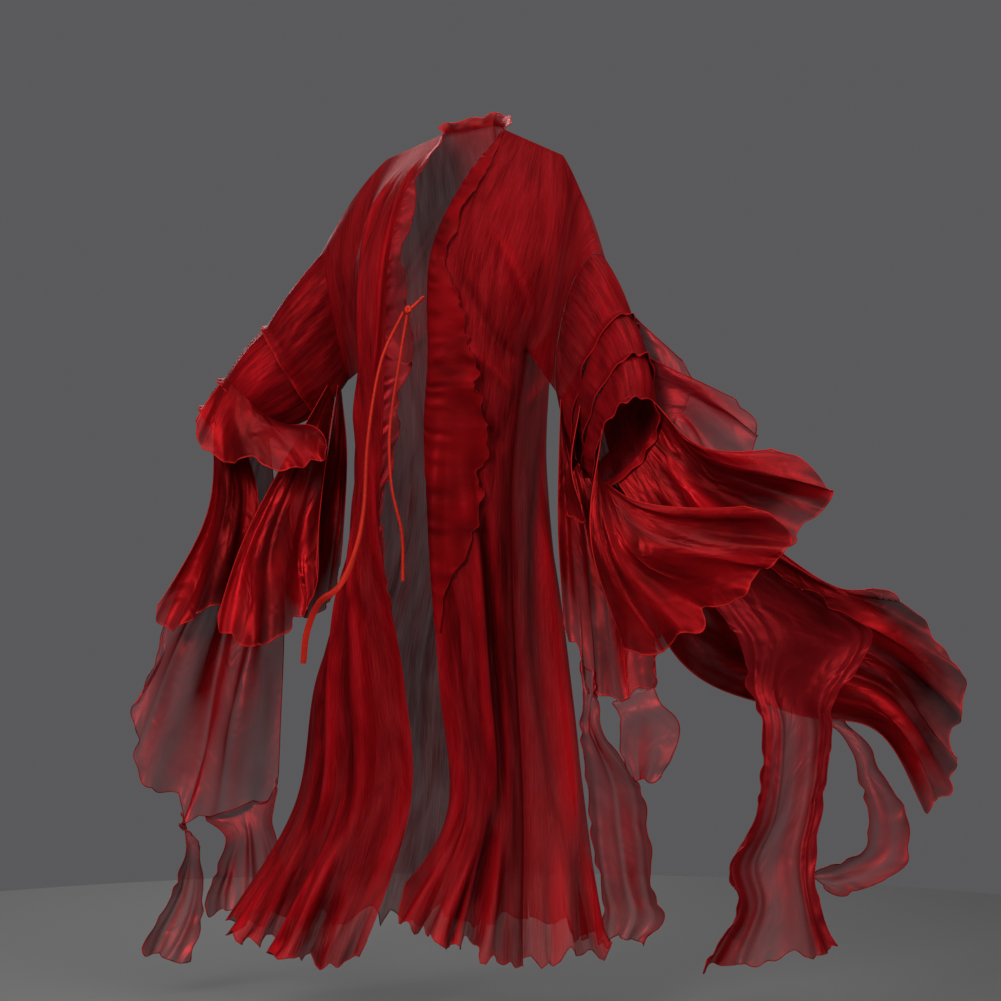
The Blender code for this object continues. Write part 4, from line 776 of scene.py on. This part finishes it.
# Flounces. Folds: angle round the sleeve, then places along the fold. Billows and pleats: places in
# percent, heights and a pleat's half width in millimetres. Each has the part's own waves, and small
# curls at the hem
flounceUsual = {"lobes": (0.110, 0.012), "curls": (0.044, 0.0045), "reach": 0.018, "corner": 0.034}
cellSize = 0.0036  # of the flounces and streamers
flounces = {
    "flounceLeftElbow": {
        "cut": (0.235, 0.155, 0.0204), "node": "flounce_left_elbow", "stuff": sheerOrganza,
        "sleeve": ringsLeft, "tier": 0, "part": 0.97, "waves": (3, 0.006),
        "folds": (
            (20, (298, 285, -380), (346, 262, -433)), (50, (295, 290, -402), (336, 280, -475)),
            (75, (288, 292, -430), (312, 296, -508)), (100, (276, 288, -460), (285, 300, -532)),
            (125, (255, 270, -495), (262, 290, -550))),
        "billows": ((30, 80, 16, 35, 10), (75, 90, 14, 30, -9)),
        "pleats": ((8, 6, 18, 5), (44, 41, 27, -5), (76, 80, 24, 5))},
    "flounceLeftForearm": {
        "cut": (0.325, 0.200, 0.0303), "node": "flounce_left_forearm", "stuff": sheerOrganza,
        "sleeve": ringsLeft, "tier": 1, "part": 0.97, "waves": (3.5, 0.008),
        "folds": (
            (20, (345, 340, -440), (428, 325, -492)), (50, (342, 345, -462), (440, 340, -533)),
            (75, (328, 350, -487), (398, 352, -572)), (100, (310, 345, -512), (345, 358, -590)),
            (125, (285, 332, -542), (300, 346, -600))),
        "billows": ((22, 85, 14, 35, 15), (55, 75, 14, 30, -13), (85, 95, 12, 30, 11)),
        "pleats": ((6, 5, 24, 7), (33, 30, 35, -7), (63, 66, 33, 9), (92, 95, 20, -5))},
    "flounceLeftCuff": {
        "cut": (0.620, 0.310, 0.072), "node": "flounce_left_cuff", "thinning": 4,
        "lobes": (0.135, 0.014), "curls": (0.055, 0.0050), "sleeve": ringsLeft, "tier": 2, "part": 0.97,
        "waves": (4.5, 0.010),
        "folds": (
            (15, (355, 402, -545), (500, 380, -556)), (40, (372, 408, -572), (548, 382, -620)),
            (65, (362, 410, -605), (505, 392, -673)), (90, (335, 408, -635), (420, 400, -724)),
            (115, (300, 400, -655), (338, 392, -778)), (140, (255, 390, -660), (262, 382, -794))),
        "billows": (
            (15, 90, 10, 30, 20), (36, 65, 12, 28, -18), (60, 90, 11, 32, 22), (85, 80, 10, 30, -15)),
        "pleats": ((7, 4, 24, 8), (27, 25, 38, -10), (52, 53, 35, 11), (78, 80, 28, -8))},
    "flounceLeftCuffNear": {
        "cut": (0.530, 0.360, 0.066), "node": "flounce_left_cuff_near", "thinning": 4,
        "lobes": (0.125, 0.014), "curls": (0.052, 0.0050), "sleeve": ringsLeft, "tier": 2, "part": 0.99,
        "waves": (4.5, 0.010),
        "folds": (
            (169, (270, 440, -630), (460, 450, -636)), (189, (285, 455, -660), (478, 462, -692)),
            (209, (270, 464, -690), (442, 470, -732)), (229, (240, 466, -706), (367, 466, -790)),
            (249, (208, 458, -704), (298, 456, -848)), (269, (180, 442, -684), (236, 436, -862))),
        "billows": (
            (12, 75, 12, 28, -15), (33, 92, 12, 30, 22), (58, 70, 11, 28, -18), (82, 88, 11, 30, 18)),
        "pleats": ((6, 5, 22, 7), (30, 29, 38, -10), (55, 56, 33, 11), (81, 82, 26, -7))},
    "flounceLeftInner": {
        "cut": (0.180, 0.185, 0.0144), "node": "flounce_left_inner", "thinning": 4, "sleeve": ringsLeft,
        "tier": 1, "part": 0.50, "waves": (3, 0.005),
        "folds": (
            (180, (146, 285, -595), (137, 300, -626)), (205, (142, 320, -600), (148, 330, -652)),
            (230, (145, 350, -595), (164, 362, -658)), (255, (152, 372, -575), (176, 392, -655))),
        "billows": ((40, 80, 20, 35, 7),),
        "pleats": ((12, 10, 18, 5), (35, 33, 27, -4), (58, 60, 26, 5))},
    "flounceLeftUnder": {
        "cut": (0.430, 0.465, 0.067), "node": "flounce_left_under", "sleeve": ringsLeft, "tier": 0,
        "part": 0.50, "waves": (4.5, 0.008),
        "folds": (
            (228, (134, 235, -670), (146, 250, -849)), (216, (162, 250, -690), (172, 270, -885)),
            (204, (190, 262, -705), (203, 290, -923)), (192, (220, 274, -705), (240, 310, -937)),
            (180, (246, 282, -690), (275, 326, -898)), (168, (262, 286, -665), (290, 338, -805))),
        "billows": ((20, 85, 13, 25, 15), (52, 70, 14, 22, -15), (80, 90, 12, 22, 15)),
        "pleats": ((8, 7, 16, 7), (37, 36, 27, -7), (66, 67, 24, 9), (92, 93, 16, -5))},
    "wingLeft": {
        "cut": (0.570, 0.940, 0.179), "node": "wing_left", "sleeve": ringsLeft, "tier": 0, "part": 0.75,
        "waves": (5.5, 0.009), "thinning": 9, "lobes": (0.165, 0.015), "curls": (0.070, 0.0055),
        "folds": (
            (80, (400, 228, -630), (500, 214, -715), (582, 206, -765), (658, 200, -763)),
            (86, (390, 225, -660), (525, 211, -755), (640, 200, -800), (758, 178, -860)),
            (92, (380, 222, -690), (520, 208, -785), (660, 194, -845), (790, 160, -945)),
            (99, (370, 220, -725), (515, 205, -820), (665, 190, -888), (783, 150, -1010)),
            (106, (355, 218, -760), (510, 202, -860), (665, 186, -925), (772, 148, -1065)),
            (113, (335, 216, -800), (505, 198, -908), (658, 184, -960), (757, 148, -1105)),
            (120, (310, 214, -855), (500, 192, -962), (648, 184, -995), (737, 150, -1142))),
        "billows": (
            (10, 92, 9, 14, -20), (30, 72, 13, 16, 27), (52, 90, 12, 16, -25), (62, 50, 16, 14, 18),
            (84, 80, 12, 18, 25)),
        "pleats": (
            (5, 5, 24, 4), (25, 25, 32, -4), (48, 48, 28, 6), (70, 70, 26, -6), (92, 92, 27, 4))},
    "flounceRightForearm": {
        "cut": (0.415, 0.150, 0.0307), "node": "flounce_right_forearm", "sleeve": ringsRight, "tier": 1,
        "part": 0.97, "waves": (4, 0.006),
        "folds": (
            (345, (-462, -80, -468), (-484, -60, -515)), (320, (-440, -60, -485), (-456, -34, -535)),
            (290, (-402, -50, -502), (-396, -10, -560)), (260, (-352, -45, -512), (-322, 0, -572)),
            (235, (-305, -46, -514), (-268, -5, -562)), (210, (-272, -58, -500), (-238, -24, -536))),
        "billows": ((25, 90, 14, 35, 13), (62, 85, 14, 35, -11)),
        "pleats": ((8, 7, 20, 7), (40, 40, 35, -7), (70, 72, 28, 8))},
    "flounceRightCuff": {
        "cut": (0.340, 0.370, 0.0423), "node": "flounce_right_cuff", "thinning": 4,
        "sleeve": ringsRight, "tier": 2, "part": 0.99, "waves": (3, 0.008),
        "folds": (
            (290, (-458, -105, -650), (-556, -95, -842)), (270, (-440, -98, -665), (-505, -88, -836)),
            (240, (-418, -95, -660), (-455, -85, -815)), (210, (-394, -100, -645), (-408, -88, -790)),
            (185, (-370, -106, -620), (-372, -96, -750))),
        "billows": ((22, 85, 14, 25, 18), (60, 75, 15, 25, -15), (88, 92, 10, 20, 10)),
        "pleats": ((10, 9, 20, 9), (42, 43, 32, -10), (76, 77, 26, 9))},
    "flounceRightInner": {
        "cut": (0.350, 0.460, 0.057), "node": "flounce_right_inner", "thinning": 4,
        "sleeve": ringsRight, "tier": 0, "part": 0.53, "waves": (3.5, 0.008),
        "folds": (
            (222, (-385, -48, -680), (-433, -10, -840)), (202, (-358, -38, -692), (-381, 6, -871)),
            (212, (-325, -32, -692), (-328, 10, -856)), (192, (-290, -38, -675), (-285, -2, -806)),
            (182, (-262, -55, -650), (-262, -26, -772))),
        "billows": ((20, 80, 14, 22, 15), (50, 92, 13, 20, -15), (80, 75, 14, 22, 15)),
        "pleats": ((10, 8, 18, 8), (41, 41, 30, -8), (73, 75, 24, 9))},
    "flounceRightUnder": {
        "cut": (0.240, 0.395, 0.0300), "node": "flounce_right_under", "thinning": 4,
        "sleeve": ringsRight, "tier": 0, "part": 0.30, "waves": (2.5, 0.006),
        "folds": (
            (206, (-262, -116, -600), (-318, -100, -800)), (196, (-246, -116, -600), (-288, -95, -826)),
            (186, (-232, -118, -580), (-255, -100, -806)), (176, (-220, -122, -555), (-230, -112, -750))),
        "billows": ((35, 85, 18, 22, 11), (78, 75, 16, 22, -10)),
        "pleats": ((15, 13, 14, 5), (40, 38, 19, -5), (62, 64, 19, 7))},
    "wingRight": {
        "cut": (0.690, 0.675, 0.146), "node": "wing_right", "stuff": sheerOrganza, "sleeve": ringsRight,
        "tier": 2, "part": 0.50, "waves": (4.5, 0.012), "lobes": (0.150, 0.014),
        "curls": (0.062, 0.0055),
        "folds": (
            (112, (-492, -175, -730), (-557, -180, -887)),
            (122, (-482, -172, -772), (-588, -170, -968)),
            (132, (-462, -168, -805), (-578, -160, -1080)),
            (142, (-438, -164, -825), (-535, -152, -1132)),
            (152, (-408, -162, -832), (-482, -145, -1178)),
            (162, (-370, -162, -828), (-406, -140, -1150)),
            (172, (-330, -160, -800), (-338, -138, -1130))),
        "billows": (
            (14, 88, 12, 18, 22), (38, 62, 14, 18, -20), (58, 90, 13, 18, 25), (84, 75, 12, 18, -20)),
        "pleats": (
            (6, 5, 20, 7), (30, 29, 38, -11), (55, 56, 33, 13), (80, 81, 26, -10))}}
bodyAxis = wind((0.0, 0.0, -0.7))


def flounceForm(piece, columns, rows):
    part = np.linspace(0, 1, rows + 1)
    angles = np.array([fold[0] for fold in piece["folds"]], float)
    roots = seat(piece["sleeve"], piece["tier"], piece["part"], angles)
    lines = [spline(np.vstack([root[None], spot(fold[1:])]), (len(fold) - 1) * part)
             for root, fold in zip(roots, piece["folds"])]
    at = (len(lines) - 1) * np.linspace(0, 1, columns + 1)
    grid = spline(np.array(lines), at)
    between = np.interp(at, range(len(angles)), angles)
    return settled(grid, seat(piece["sleeve"], piece["tier"], piece["part"], between))


# Columns and rows for a cell of about this size.
def cells(form, size):
    rough = form(16, 10)
    wide = runAlong(rough, 0)[-1].max()
    long = runAlong(rough, 1)[:, -1].max()
    return max(12, round(wide / size)), max(12, round(long / size))


for name, piece in flounces.items():
    piece["slot"] = "red_organza"
    columns, rows = cells(lambda c, r: flounceForm(piece, c, r), cellSize)
    grid = rippled(flounceForm(piece, columns, rows), *piece["waves"])
    grid, swell = billowed(grid, piece["billows"])
    grid, fold = pleated(grid, piece["pleats"])
    fold = fold + 0.5 * swell
    lobes, curls = piece.get("lobes", flounceUsual["lobes"]), piece.get("curls", flounceUsual["curls"])
    grid = scalloped(cornered(grid, flounceUsual["corner"]), *lobes, start=piece["tier"] * 0.3)
    grid = curled(grid, *curls, flounceUsual["reach"])
    middle = grid.mean((0, 1))
    outward = middle - bodyAxis
    outward[2] = 0
    gap = runAlong(grid, 1)
    sew(name, grid, piece, outward, fold, ("end", "left", "right"), gap)
print("flounces sewn")

# Streamers. Sections: one side, other side, hollow. Root: what each hangs from
streamers = {
    "streamerLeft": {
        "cut": (0.320, 1.040, 0.143), "node": "streamer_left", "stuff": streamerOrganza,
        "waves": (2, 0.008),
        "sections": (
            ((312, 325, -671), (425, 330, -706), 10), ((361, 318, -765), (576, 318, -799), 22),
            ((415, 315, -843), (623, 310, -843), 30), ((429, 320, -913), (567, 310, -937), 40),
            ((451, 330, -988), (561, 305, -992), 42), ((439, 335, -1120), (548, 300, -1093), 38),
            ((400, 325, -1200), (536, 305, -1180), 34), ((414, 310, -1265), (541, 318, -1262), 30),
            ((354, 300, -1367), (575, 325, -1327), 26)),
        "pleats": ((10, 13, 10, 8), (34, 24, 18, -7), (62, 74, 26, 9), (93, 88, 9, 7))},
    "streamerWing": {
        "cut": (0.080, 0.415, 0.0240), "node": "streamer_wing", "stuff": sheerOrganza,
        "waves": (1, 0.003),
        "sections": (
            ((596, 200, -1012), (634, 195, -1018), 6), ((612, 218, -1060), (650, 208, -1060), 12),
            ((630, 232, -1137), (690, 212, -1128), 16), ((618, 228, -1184), (690, 215, -1200), 14),
            ((572, 222, -1206), (606, 222, -1250), 10), ((540, 218, -1220), (545, 222, -1240), 4)),
        "pleats": ((30, 30, 8, 6), (65, 62, 8, -5))},
    "streamerLeftInner": {
        "cut": (0.140, 0.465, 0.0449), "node": "streamer_left_inner", "stuff": sheerOrganza,
        "waves": (1.5, 0.006),
        "sections": (
            ((172, 292, -945), (199, 296, -945), 6), ((167, 298, -985), (202, 302, -985), 10),
            ((177, 300, -1050), (262, 306, -1080), 20), ((184, 300, -1143), (274, 306, -1143), 24),
            ((200, 300, -1222), (278, 304, -1222), 22), ((205, 298, -1277), (295, 302, -1279), 20),
            ((209, 296, -1313), (265, 300, -1321), 14)),
        "pleats": ((20, 20, 9, 7), (50, 48, 10, -8), (78, 80, 9, 6))},
    "petalLeft": {
        "cut": (0.110, 0.200, 0.0157), "node": "petal_left", "stuff": sheerOrganza, "waves": (2, 0.006),
        "folded": False,
        "sections": (
            ((222, 345, -955), (290, 352, -935), 4), ((226, 350, -985), (318, 358, -965), 10),
            ((231, 352, -1018), (308, 360, -1020), 12), ((247, 350, -1060), (278, 354, -1071), 6)),
        "pleats": ((30, 28, 10, 5), (65, 66, 10, -5))},
    "streamerRight": {
        "cut": (0.120, 0.280, 0.0201), "node": "streamer_right", "stuff": sheerOrganza,
        "waves": (1, 0.005),
        "sections": (
            ((-497, -142, -1215), (-475, -144, -1222), 6),
            ((-508, -152, -1260), (-470, -156, -1285), 12),
            ((-530, -150, -1320), (-472, -154, -1345), 16),
            ((-565, -148, -1376), (-480, -150, -1390), 12),
            ((-576, -146, -1397), (-502, -148, -1428), 6)),
        "pleats": ((30, 28, 10, 7), (68, 70, 9, -6))},
    "streamerRightInner": {
        "cut": (0.210, 0.215, 0.0277), "node": "streamer_right_inner", "stuff": sheerOrganza,
        "waves": (2, 0.008),
        "sections": (
            ((-430, -118, -1200), (-345, -110, -1180), 14),
            ((-440, -114, -1250), (-330, -108, -1240), 18),
            ((-455, -112, -1295), (-322, -106, -1285), 16),
            ((-462, -112, -1332), (-326, -106, -1316), 10)),
        "pleats": ((22, 20, 10, 7), (50, 50, 11, -8), (78, 80, 10, 6))}}


# Points just off a carrier's hem, between two parts of its width.
def hemOf(name, first, last, columns):
    carrier = finished[name]
    place = np.linspace(first, last, columns + 1) * (carrier.shape[0] - 1)
    row = np.full_like(place, carrier.shape[1] - 1.001)
    return sample(carrier, place, row) + wind((0, 1, 0)) * 0.001


def sideOf(name, first, last, columns):
    carrier = finished[name]
    row = np.linspace(first, last, columns + 1) * (carrier.shape[1] - 1)
    return sample(carrier, np.full_like(row, carrier.shape[0] - 1.001), row)


streamerRoots = {
    "streamerLeft": lambda count: seat(ringsLeft, 2, 0.25, np.linspace(178, 114, count + 1)),
    "streamerWing": lambda count: sideOf("wingLeft", 5 / 8, 5.5 / 8, count),
    "streamerLeftInner": lambda count: hemOf("flounceLeftUnder", 2 / 18, 7 / 18, count),
    "petalLeft": lambda count: hemOf("flounceLeftUnder", 9 / 18, 15 / 18, count),
    "streamerRight": lambda count: hemOf("wingRight", 11 / 20, 13 / 20, count),
    "streamerRightInner": lambda count: hemOf("wingRight", 14 / 20, 20 / 20, count),
}


def streamerForm(name, piece, columns, rows):
    root = streamerRoots[name](columns)
    table = piece["sections"]
    at = len(table) * np.linspace(0, 1, rows + 1)
    one = spline(np.vstack([root[:1], spot([line[0] for line in table])]), at)
    other = spline(np.vstack([root[-1:], spot([line[1] for line in table])]), at)
    hollow = spline(spot([(0, 0, 0)] + [(0, line[2], 0) for line in table]), at)
    part = np.linspace(0, 1, columns + 1)[:, None, None]
    grid = one[None] + (other - one)[None] * part - hollow[None] * arch(part)
    return settled(grid, root, 0.12)


for name, piece in streamers.items():
    piece["slot"] = "red_organza"
    columns, rows = cells(lambda c, r: streamerForm(name, piece, c, r), cellSize)
    grid = rippled(streamerForm(name, piece, columns, rows), *piece["waves"])
    grid, fold = pleated(grid, piece["pleats"])
    grid = curled(scalloped(cornered(grid, 0.020), 0.09, 0.010), 0.036, 0.0040, 0.016)
    for flip in (0, 1):  # the long sides curl too
        turned = np.swapaxes(grid if flip else grid[::-1], 0, 1)
        turned = scalloped(turned, 0.14, 0.009, 0.06, 0.4 * flip)
        turned = curled(turned, 0.047 + 0.012 * flip, 0.0032, 0.014)
        grid = np.swapaxes(turned, 0, 1) if flip else np.swapaxes(turned, 0, 1)[::-1]
    middle = arch(np.linspace(0, 1, columns + 1))[:, None] * np.linspace(0.5, 1, rows + 1)[None, :]
    piece["thin"] = middle if piece.get("folded", True) else 0.9  # its sides are folded double
    sew(name, grid, piece, wind((0, 1, 0)), fold, ("end", "left", "right"), runAlong(grid, 1) + 0.004)
print("streamers sewn")

# Front frills: (row of the panel, width in millimetres) down the opening, with their lobes
frills = {
    "left": {
        "cut": (0.995, 0.115, 0.058), "node": "front_frill_left", "slot": "red_organza",
        "stuff": frillOrganza,
        "wide": (
            (0.15, 6), (1.5, 24), (2.6, 30), (3.6, 22), (4.5, 30), (5.4, 22), (6.3, 50), (7.0, 60),
            (7.6, 62), (8.4, 80), (8.8, 76), (9.6, 96), (10.3, 101), (10.9, 90), (11.4, 88), (12.3, 68),
            (12.9, 46), (13.3, 14), (14.3, 6))},
    "right": {
        "cut": (0.955, 0.054, 0.0273), "node": "front_frill_right", "slot": "red_organza",
        "stuff": sheerOrganza,
        "wide": (
            (0.15, 10), (1.4, 18), (2.6, 10), (3.6, 26), (4.3, 30), (5.2, 18), (6.0, 38), (7.6, 52),
            (8.0, 50), (8.3, 38), (8.7, 46), (9.2, 24), (9.7, 31), (10.0, 28), (10.7, 42), (11.1, 33),
            (11.4, 34), (12.0, 24), (12.6, 10), (14.3, 6))},
    "columns": 340,
    "rows": 22,
    "from": 0.15,
    "to": 14.3}
frillPart = np.linspace(0, 1, frills["columns"] + 1)[:, None]
frillReach = np.linspace(0, 1, frills["rows"] + 1)[None, :]
frillDown = frills["from"] + (frills["to"] - frills["from"]) * frillPart
frillRow = np.interp(frillDown, panelRows, range(len(panelRows)))
gathers = 0.0012 * uneven(31 * frillPart) * np.exp(-((frillReach - 0.15) / 0.25) ** 2)
gathers = gathers + 0.0035 * uneven(8.3 * frillPart + 0.4) * frillReach ** 1.5


def lobed(knots):
    rows, widths = zip(*knots)
    wide = np.interp(frillDown, rows, fromMm(widths))
    for _ in range(8):
        wide[1:-1] = (wide[:-2] + 2 * wide[1:-1] + wide[2:]) / 4
    return wide * (1 + 0.055 * uneven(19 * frillPart + 0.3) + 0.03 * uneven(43 * frillPart))


def leftFrill():  # turned back over its panel: the panel's own points, moved out
    carrier = finished["frontLeftOpen"]
    wide = lobed(frills["left"]["wide"])
    start = sample(carrier, np.zeros_like(frillRow), frillRow)
    side = sample(carrier, np.full_like(frillRow, bodyCells), frillRow)
    span = np.linalg.norm(side - start, axis=-1)
    reach = np.minimum(wide * frillReach / span, 0.8) * bodyCells
    place = sample(carrier, reach, frillRow * np.ones_like(reach))
    square = sample(squareTo(carrier), reach, frillRow * np.ones_like(reach))
    square = np.where((square[..., 1:2] > 0), -square, square)
    out = 0.0012 + 0.007 * np.sqrt(frillReach) * ease(wide / 0.04) + gathers * ease(wide / 0.03)
    return place + unit(square) * out[..., None]


def rightFrill():  # carries its panel's cloth on across the opening, in waves
    carrier = finished["frontRightOpen"]
    wide = lobed(frills["right"]["wide"])
    start = sample(carrier, np.zeros_like(frillRow), frillRow)
    inside = sample(carrier, np.full_like(frillRow, 0.07 * bodyCells), frillRow)
    run = unit(start - inside)
    square = sample(squareTo(carrier), np.zeros_like(frillRow), frillRow)
    square = np.where((square[..., 1:2] > 0), -square, square)
    out = 0.004 * frillReach + gathers * ease(wide / 0.03)
    return start + run * (wide * frillReach)[..., None] + unit(square) * out[..., None]


for side, form in (("left", leftFrill), ("right", rightFrill)):
    grid = curled(form(), 0.045, 0.0022, 0.009)
    sew("frontFrill" + side.capitalize(), grid, frills[side], np.array((0, -1, 0)), 1.6 * gathers,
        ("end", "left", "right"), runAlong(grid, 1))

neckRuffle = {"node": "neck_ruffle", "slot": "red_organza", "columns": 96, "high": 0.019, "lean": 0.011,
              "rows": 8, "cut": (0.230, 0.027, 0.0057)}
backs = [finished["backLeftOpen"], finished["backRightOpen"]]
neckCells = round(neckShare * bodyCells)
neckLine = np.concatenate((backs[0][neckCells:0:-1, 0], backs[1][:neckCells + 1, 0]))
neckAt = np.linspace(0, len(neckLine) - 1, neckRuffle["columns"] + 1)
neckBase = np.stack([np.interp(neckAt, range(len(neckLine)), neckLine[:, axis]) for axis in range(3)], -1)
neckAway = unit(neckBase * (1, 1, 0))
neckUp = np.linspace(0, 1, neckRuffle["rows"] + 1)[None, :]
neckPart = np.linspace(0, 1, neckRuffle["columns"] + 1)[:, None]
neckHigh = neckRuffle["high"] * (0.55 + 0.45 * arch(neckPart) ** 0.5 + 0.12 * uneven(4.2 * neckPart + 0.3))
neckOut = neckRuffle["lean"] * neckUp ** 2 + 0.0028 * neckUp ** 2 * uneven(3.7 * neckPart)
grid = neckBase[:, None] + neckAway[:, None] * neckOut[..., None]
grid = grid + np.array((0, 0, 1)) * ((neckHigh + 0.002) * neckUp - 0.002)[..., None]
grid = curled(grid, 0.034, 0.0014, 0.006)
sew("neckRuffle", grid, neckRuffle, neckAway[:, None], None, ("end", "left", "right"), runAlong(grid, 1))
print("frills sewn")

# Ribbon tie: routes, and how far the ribbon turns about its own line along each
ties = {
    "tieAcross": {
        "node": "tie_across", "turn": (0, 10, 0), "curl": (3.6, 3.9, 3.6),
        "cut": (0.010, 0.043, 0.00043),
        "route": ((-81.8, 109.5, -292), (-90, 128, -302), (-101.8, 138.7, -313.2))},
    "tieShortEnd": {
        "node": "tie_short_end", "turn": (0, -15, 20, 5, -20, 10),
        "curl": (3.9, 4.4, 4.2, 4.4, 4.0, 3.4), "cut": (0.010, 0.436, 0.0043),
        "route": (
            (-109, 140, -324.5), (-122, 141, -400), (-136, 142, -510), (-134, 143, -600),
            (-118, 143, -680), (-115, 143, -755))},
    "tieLongEnd": {
        "node": "tie_long_end", "turn": (0, 15, -20, 10, 25, -30, 20, 0, 30),
        "curl": (3.9, 4.3, 4.0, 3.4, 2.0, 0.9, 0.5, 0.5, 0.4), "cut": (0.010, 0.616, 0.0061),
        "route": (
            (-115, 141, -319.5), (-150, 150, -400), (-172, 156, -520), (-178, 160, -640),
            (-192, 162, -712), (-220, 158, -765), (-252, 142, -792), (-272, 130, -840),
            (-278, 122, -890))}}
ribbonWide, ribbonRoll = 0.010, 0.0004
for name, tie in ties.items():
    tie["slot"] = "orange_ribbon"
    tie["held"] = "hung"
    tie["roll"] = ribbonRoll
    route = spot(tie["route"])
    count = 30 * (len(route) - 1)
    at = np.linspace(0, len(route) - 1, count + 1)
    line = spline(route, at)
    ahead = unit(np.gradient(line, axis=0))
    toward = wind((0, 1, 0))
    wide = unit(np.cross(ahead, toward))
    lift = np.cross(wide, ahead)
    turn = np.radians(np.interp(at, range(len(tie["turn"])), tie["turn"]))[:, None]
    across = wide * np.cos(turn) + lift * np.sin(turn)
    square = lift * np.cos(turn) - wide * np.sin(turn)
    bend = np.interp(at, np.linspace(0, len(route) - 1, len(tie["curl"])), tie["curl"])[None, :, None]
    part = np.linspace(-0.5, 0.5, 13)[:, None, None]
    bow = ribbonWide / bend  # the cross-section is an arc
    grid = line[None] + across[None] * bow * np.sin(part * bend)
    grid = grid + square[None] * bow * (np.cos(part * bend) - 1)
    sew(name, grid, tie, toward, None, ("left", "right", "end"))

# Knot of the tie: wrapped turns of ribbon
knot = {"node": "tie_knot", "place": (-0.1075, 0.1395, -0.3165), "ring": 0.0030, "band": 0.0030}
bpy.ops.object.select_all(action="DESELECT")
bpy.ops.mesh.primitive_torus_add(major_segments=40, minor_segments=14, major_radius=knot["ring"],
                                 minor_radius=knot["band"],
                                 rotation=(math.radians(72), 0, math.radians(30)))
wrap = bpy.context.active_object
wrap.name = "tieKnot"
bpy.ops.object.mode_set(mode="EDIT")
bpy.ops.mesh.select_all(action="SELECT")
bpy.ops.transform.resize(value=(1.0, 1.0, 1.35))
bpy.ops.mesh.duplicate()
bpy.ops.transform.rotate(value=math.radians(64), orient_axis="Y", center_override=(0, 0, 0))
bpy.ops.transform.resize(value=(0.92, 0.92, 0.92))
bpy.ops.object.mode_set(mode="OBJECT")
wrap.location = wind(knot["place"])
bpy.ops.object.transform_apply(location=True, rotation=True, scale=True)
bpy.ops.object.shade_smooth()
points = np.array([vertex.co[:] for vertex in wrap.data.vertices])
label(wrap.data, points * 3, np.tile((0.0, 0.0, 0.5), (len(points), 1)), np.zeros((len(points), 3)))
wrap.data.materials.append(satin)
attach(wrap, "root")
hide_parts(knot["node"])
print("tie made")

# Floor
radius, height, shade = studio["floor"]
bpy.ops.object.select_all(action="DESELECT")
bpy.ops.mesh.primitive_circle_add(vertices=160, radius=radius, fill_type="NGON", location=(0, 0, height))
floor = bpy.context.active_object
floor.name = "floor"
bpy.ops.object.transform_apply(location=True, rotation=True, scale=True)
floorCoat = Recipe("pale_floor")
floorCoat.feed(floorCoat.surface.inputs["Base Color"], (*shade, 1))
floorCoat.feed(floorCoat.surface.inputs["Roughness"], 0.75)
floor.data.materials.append(floorCoat.material)
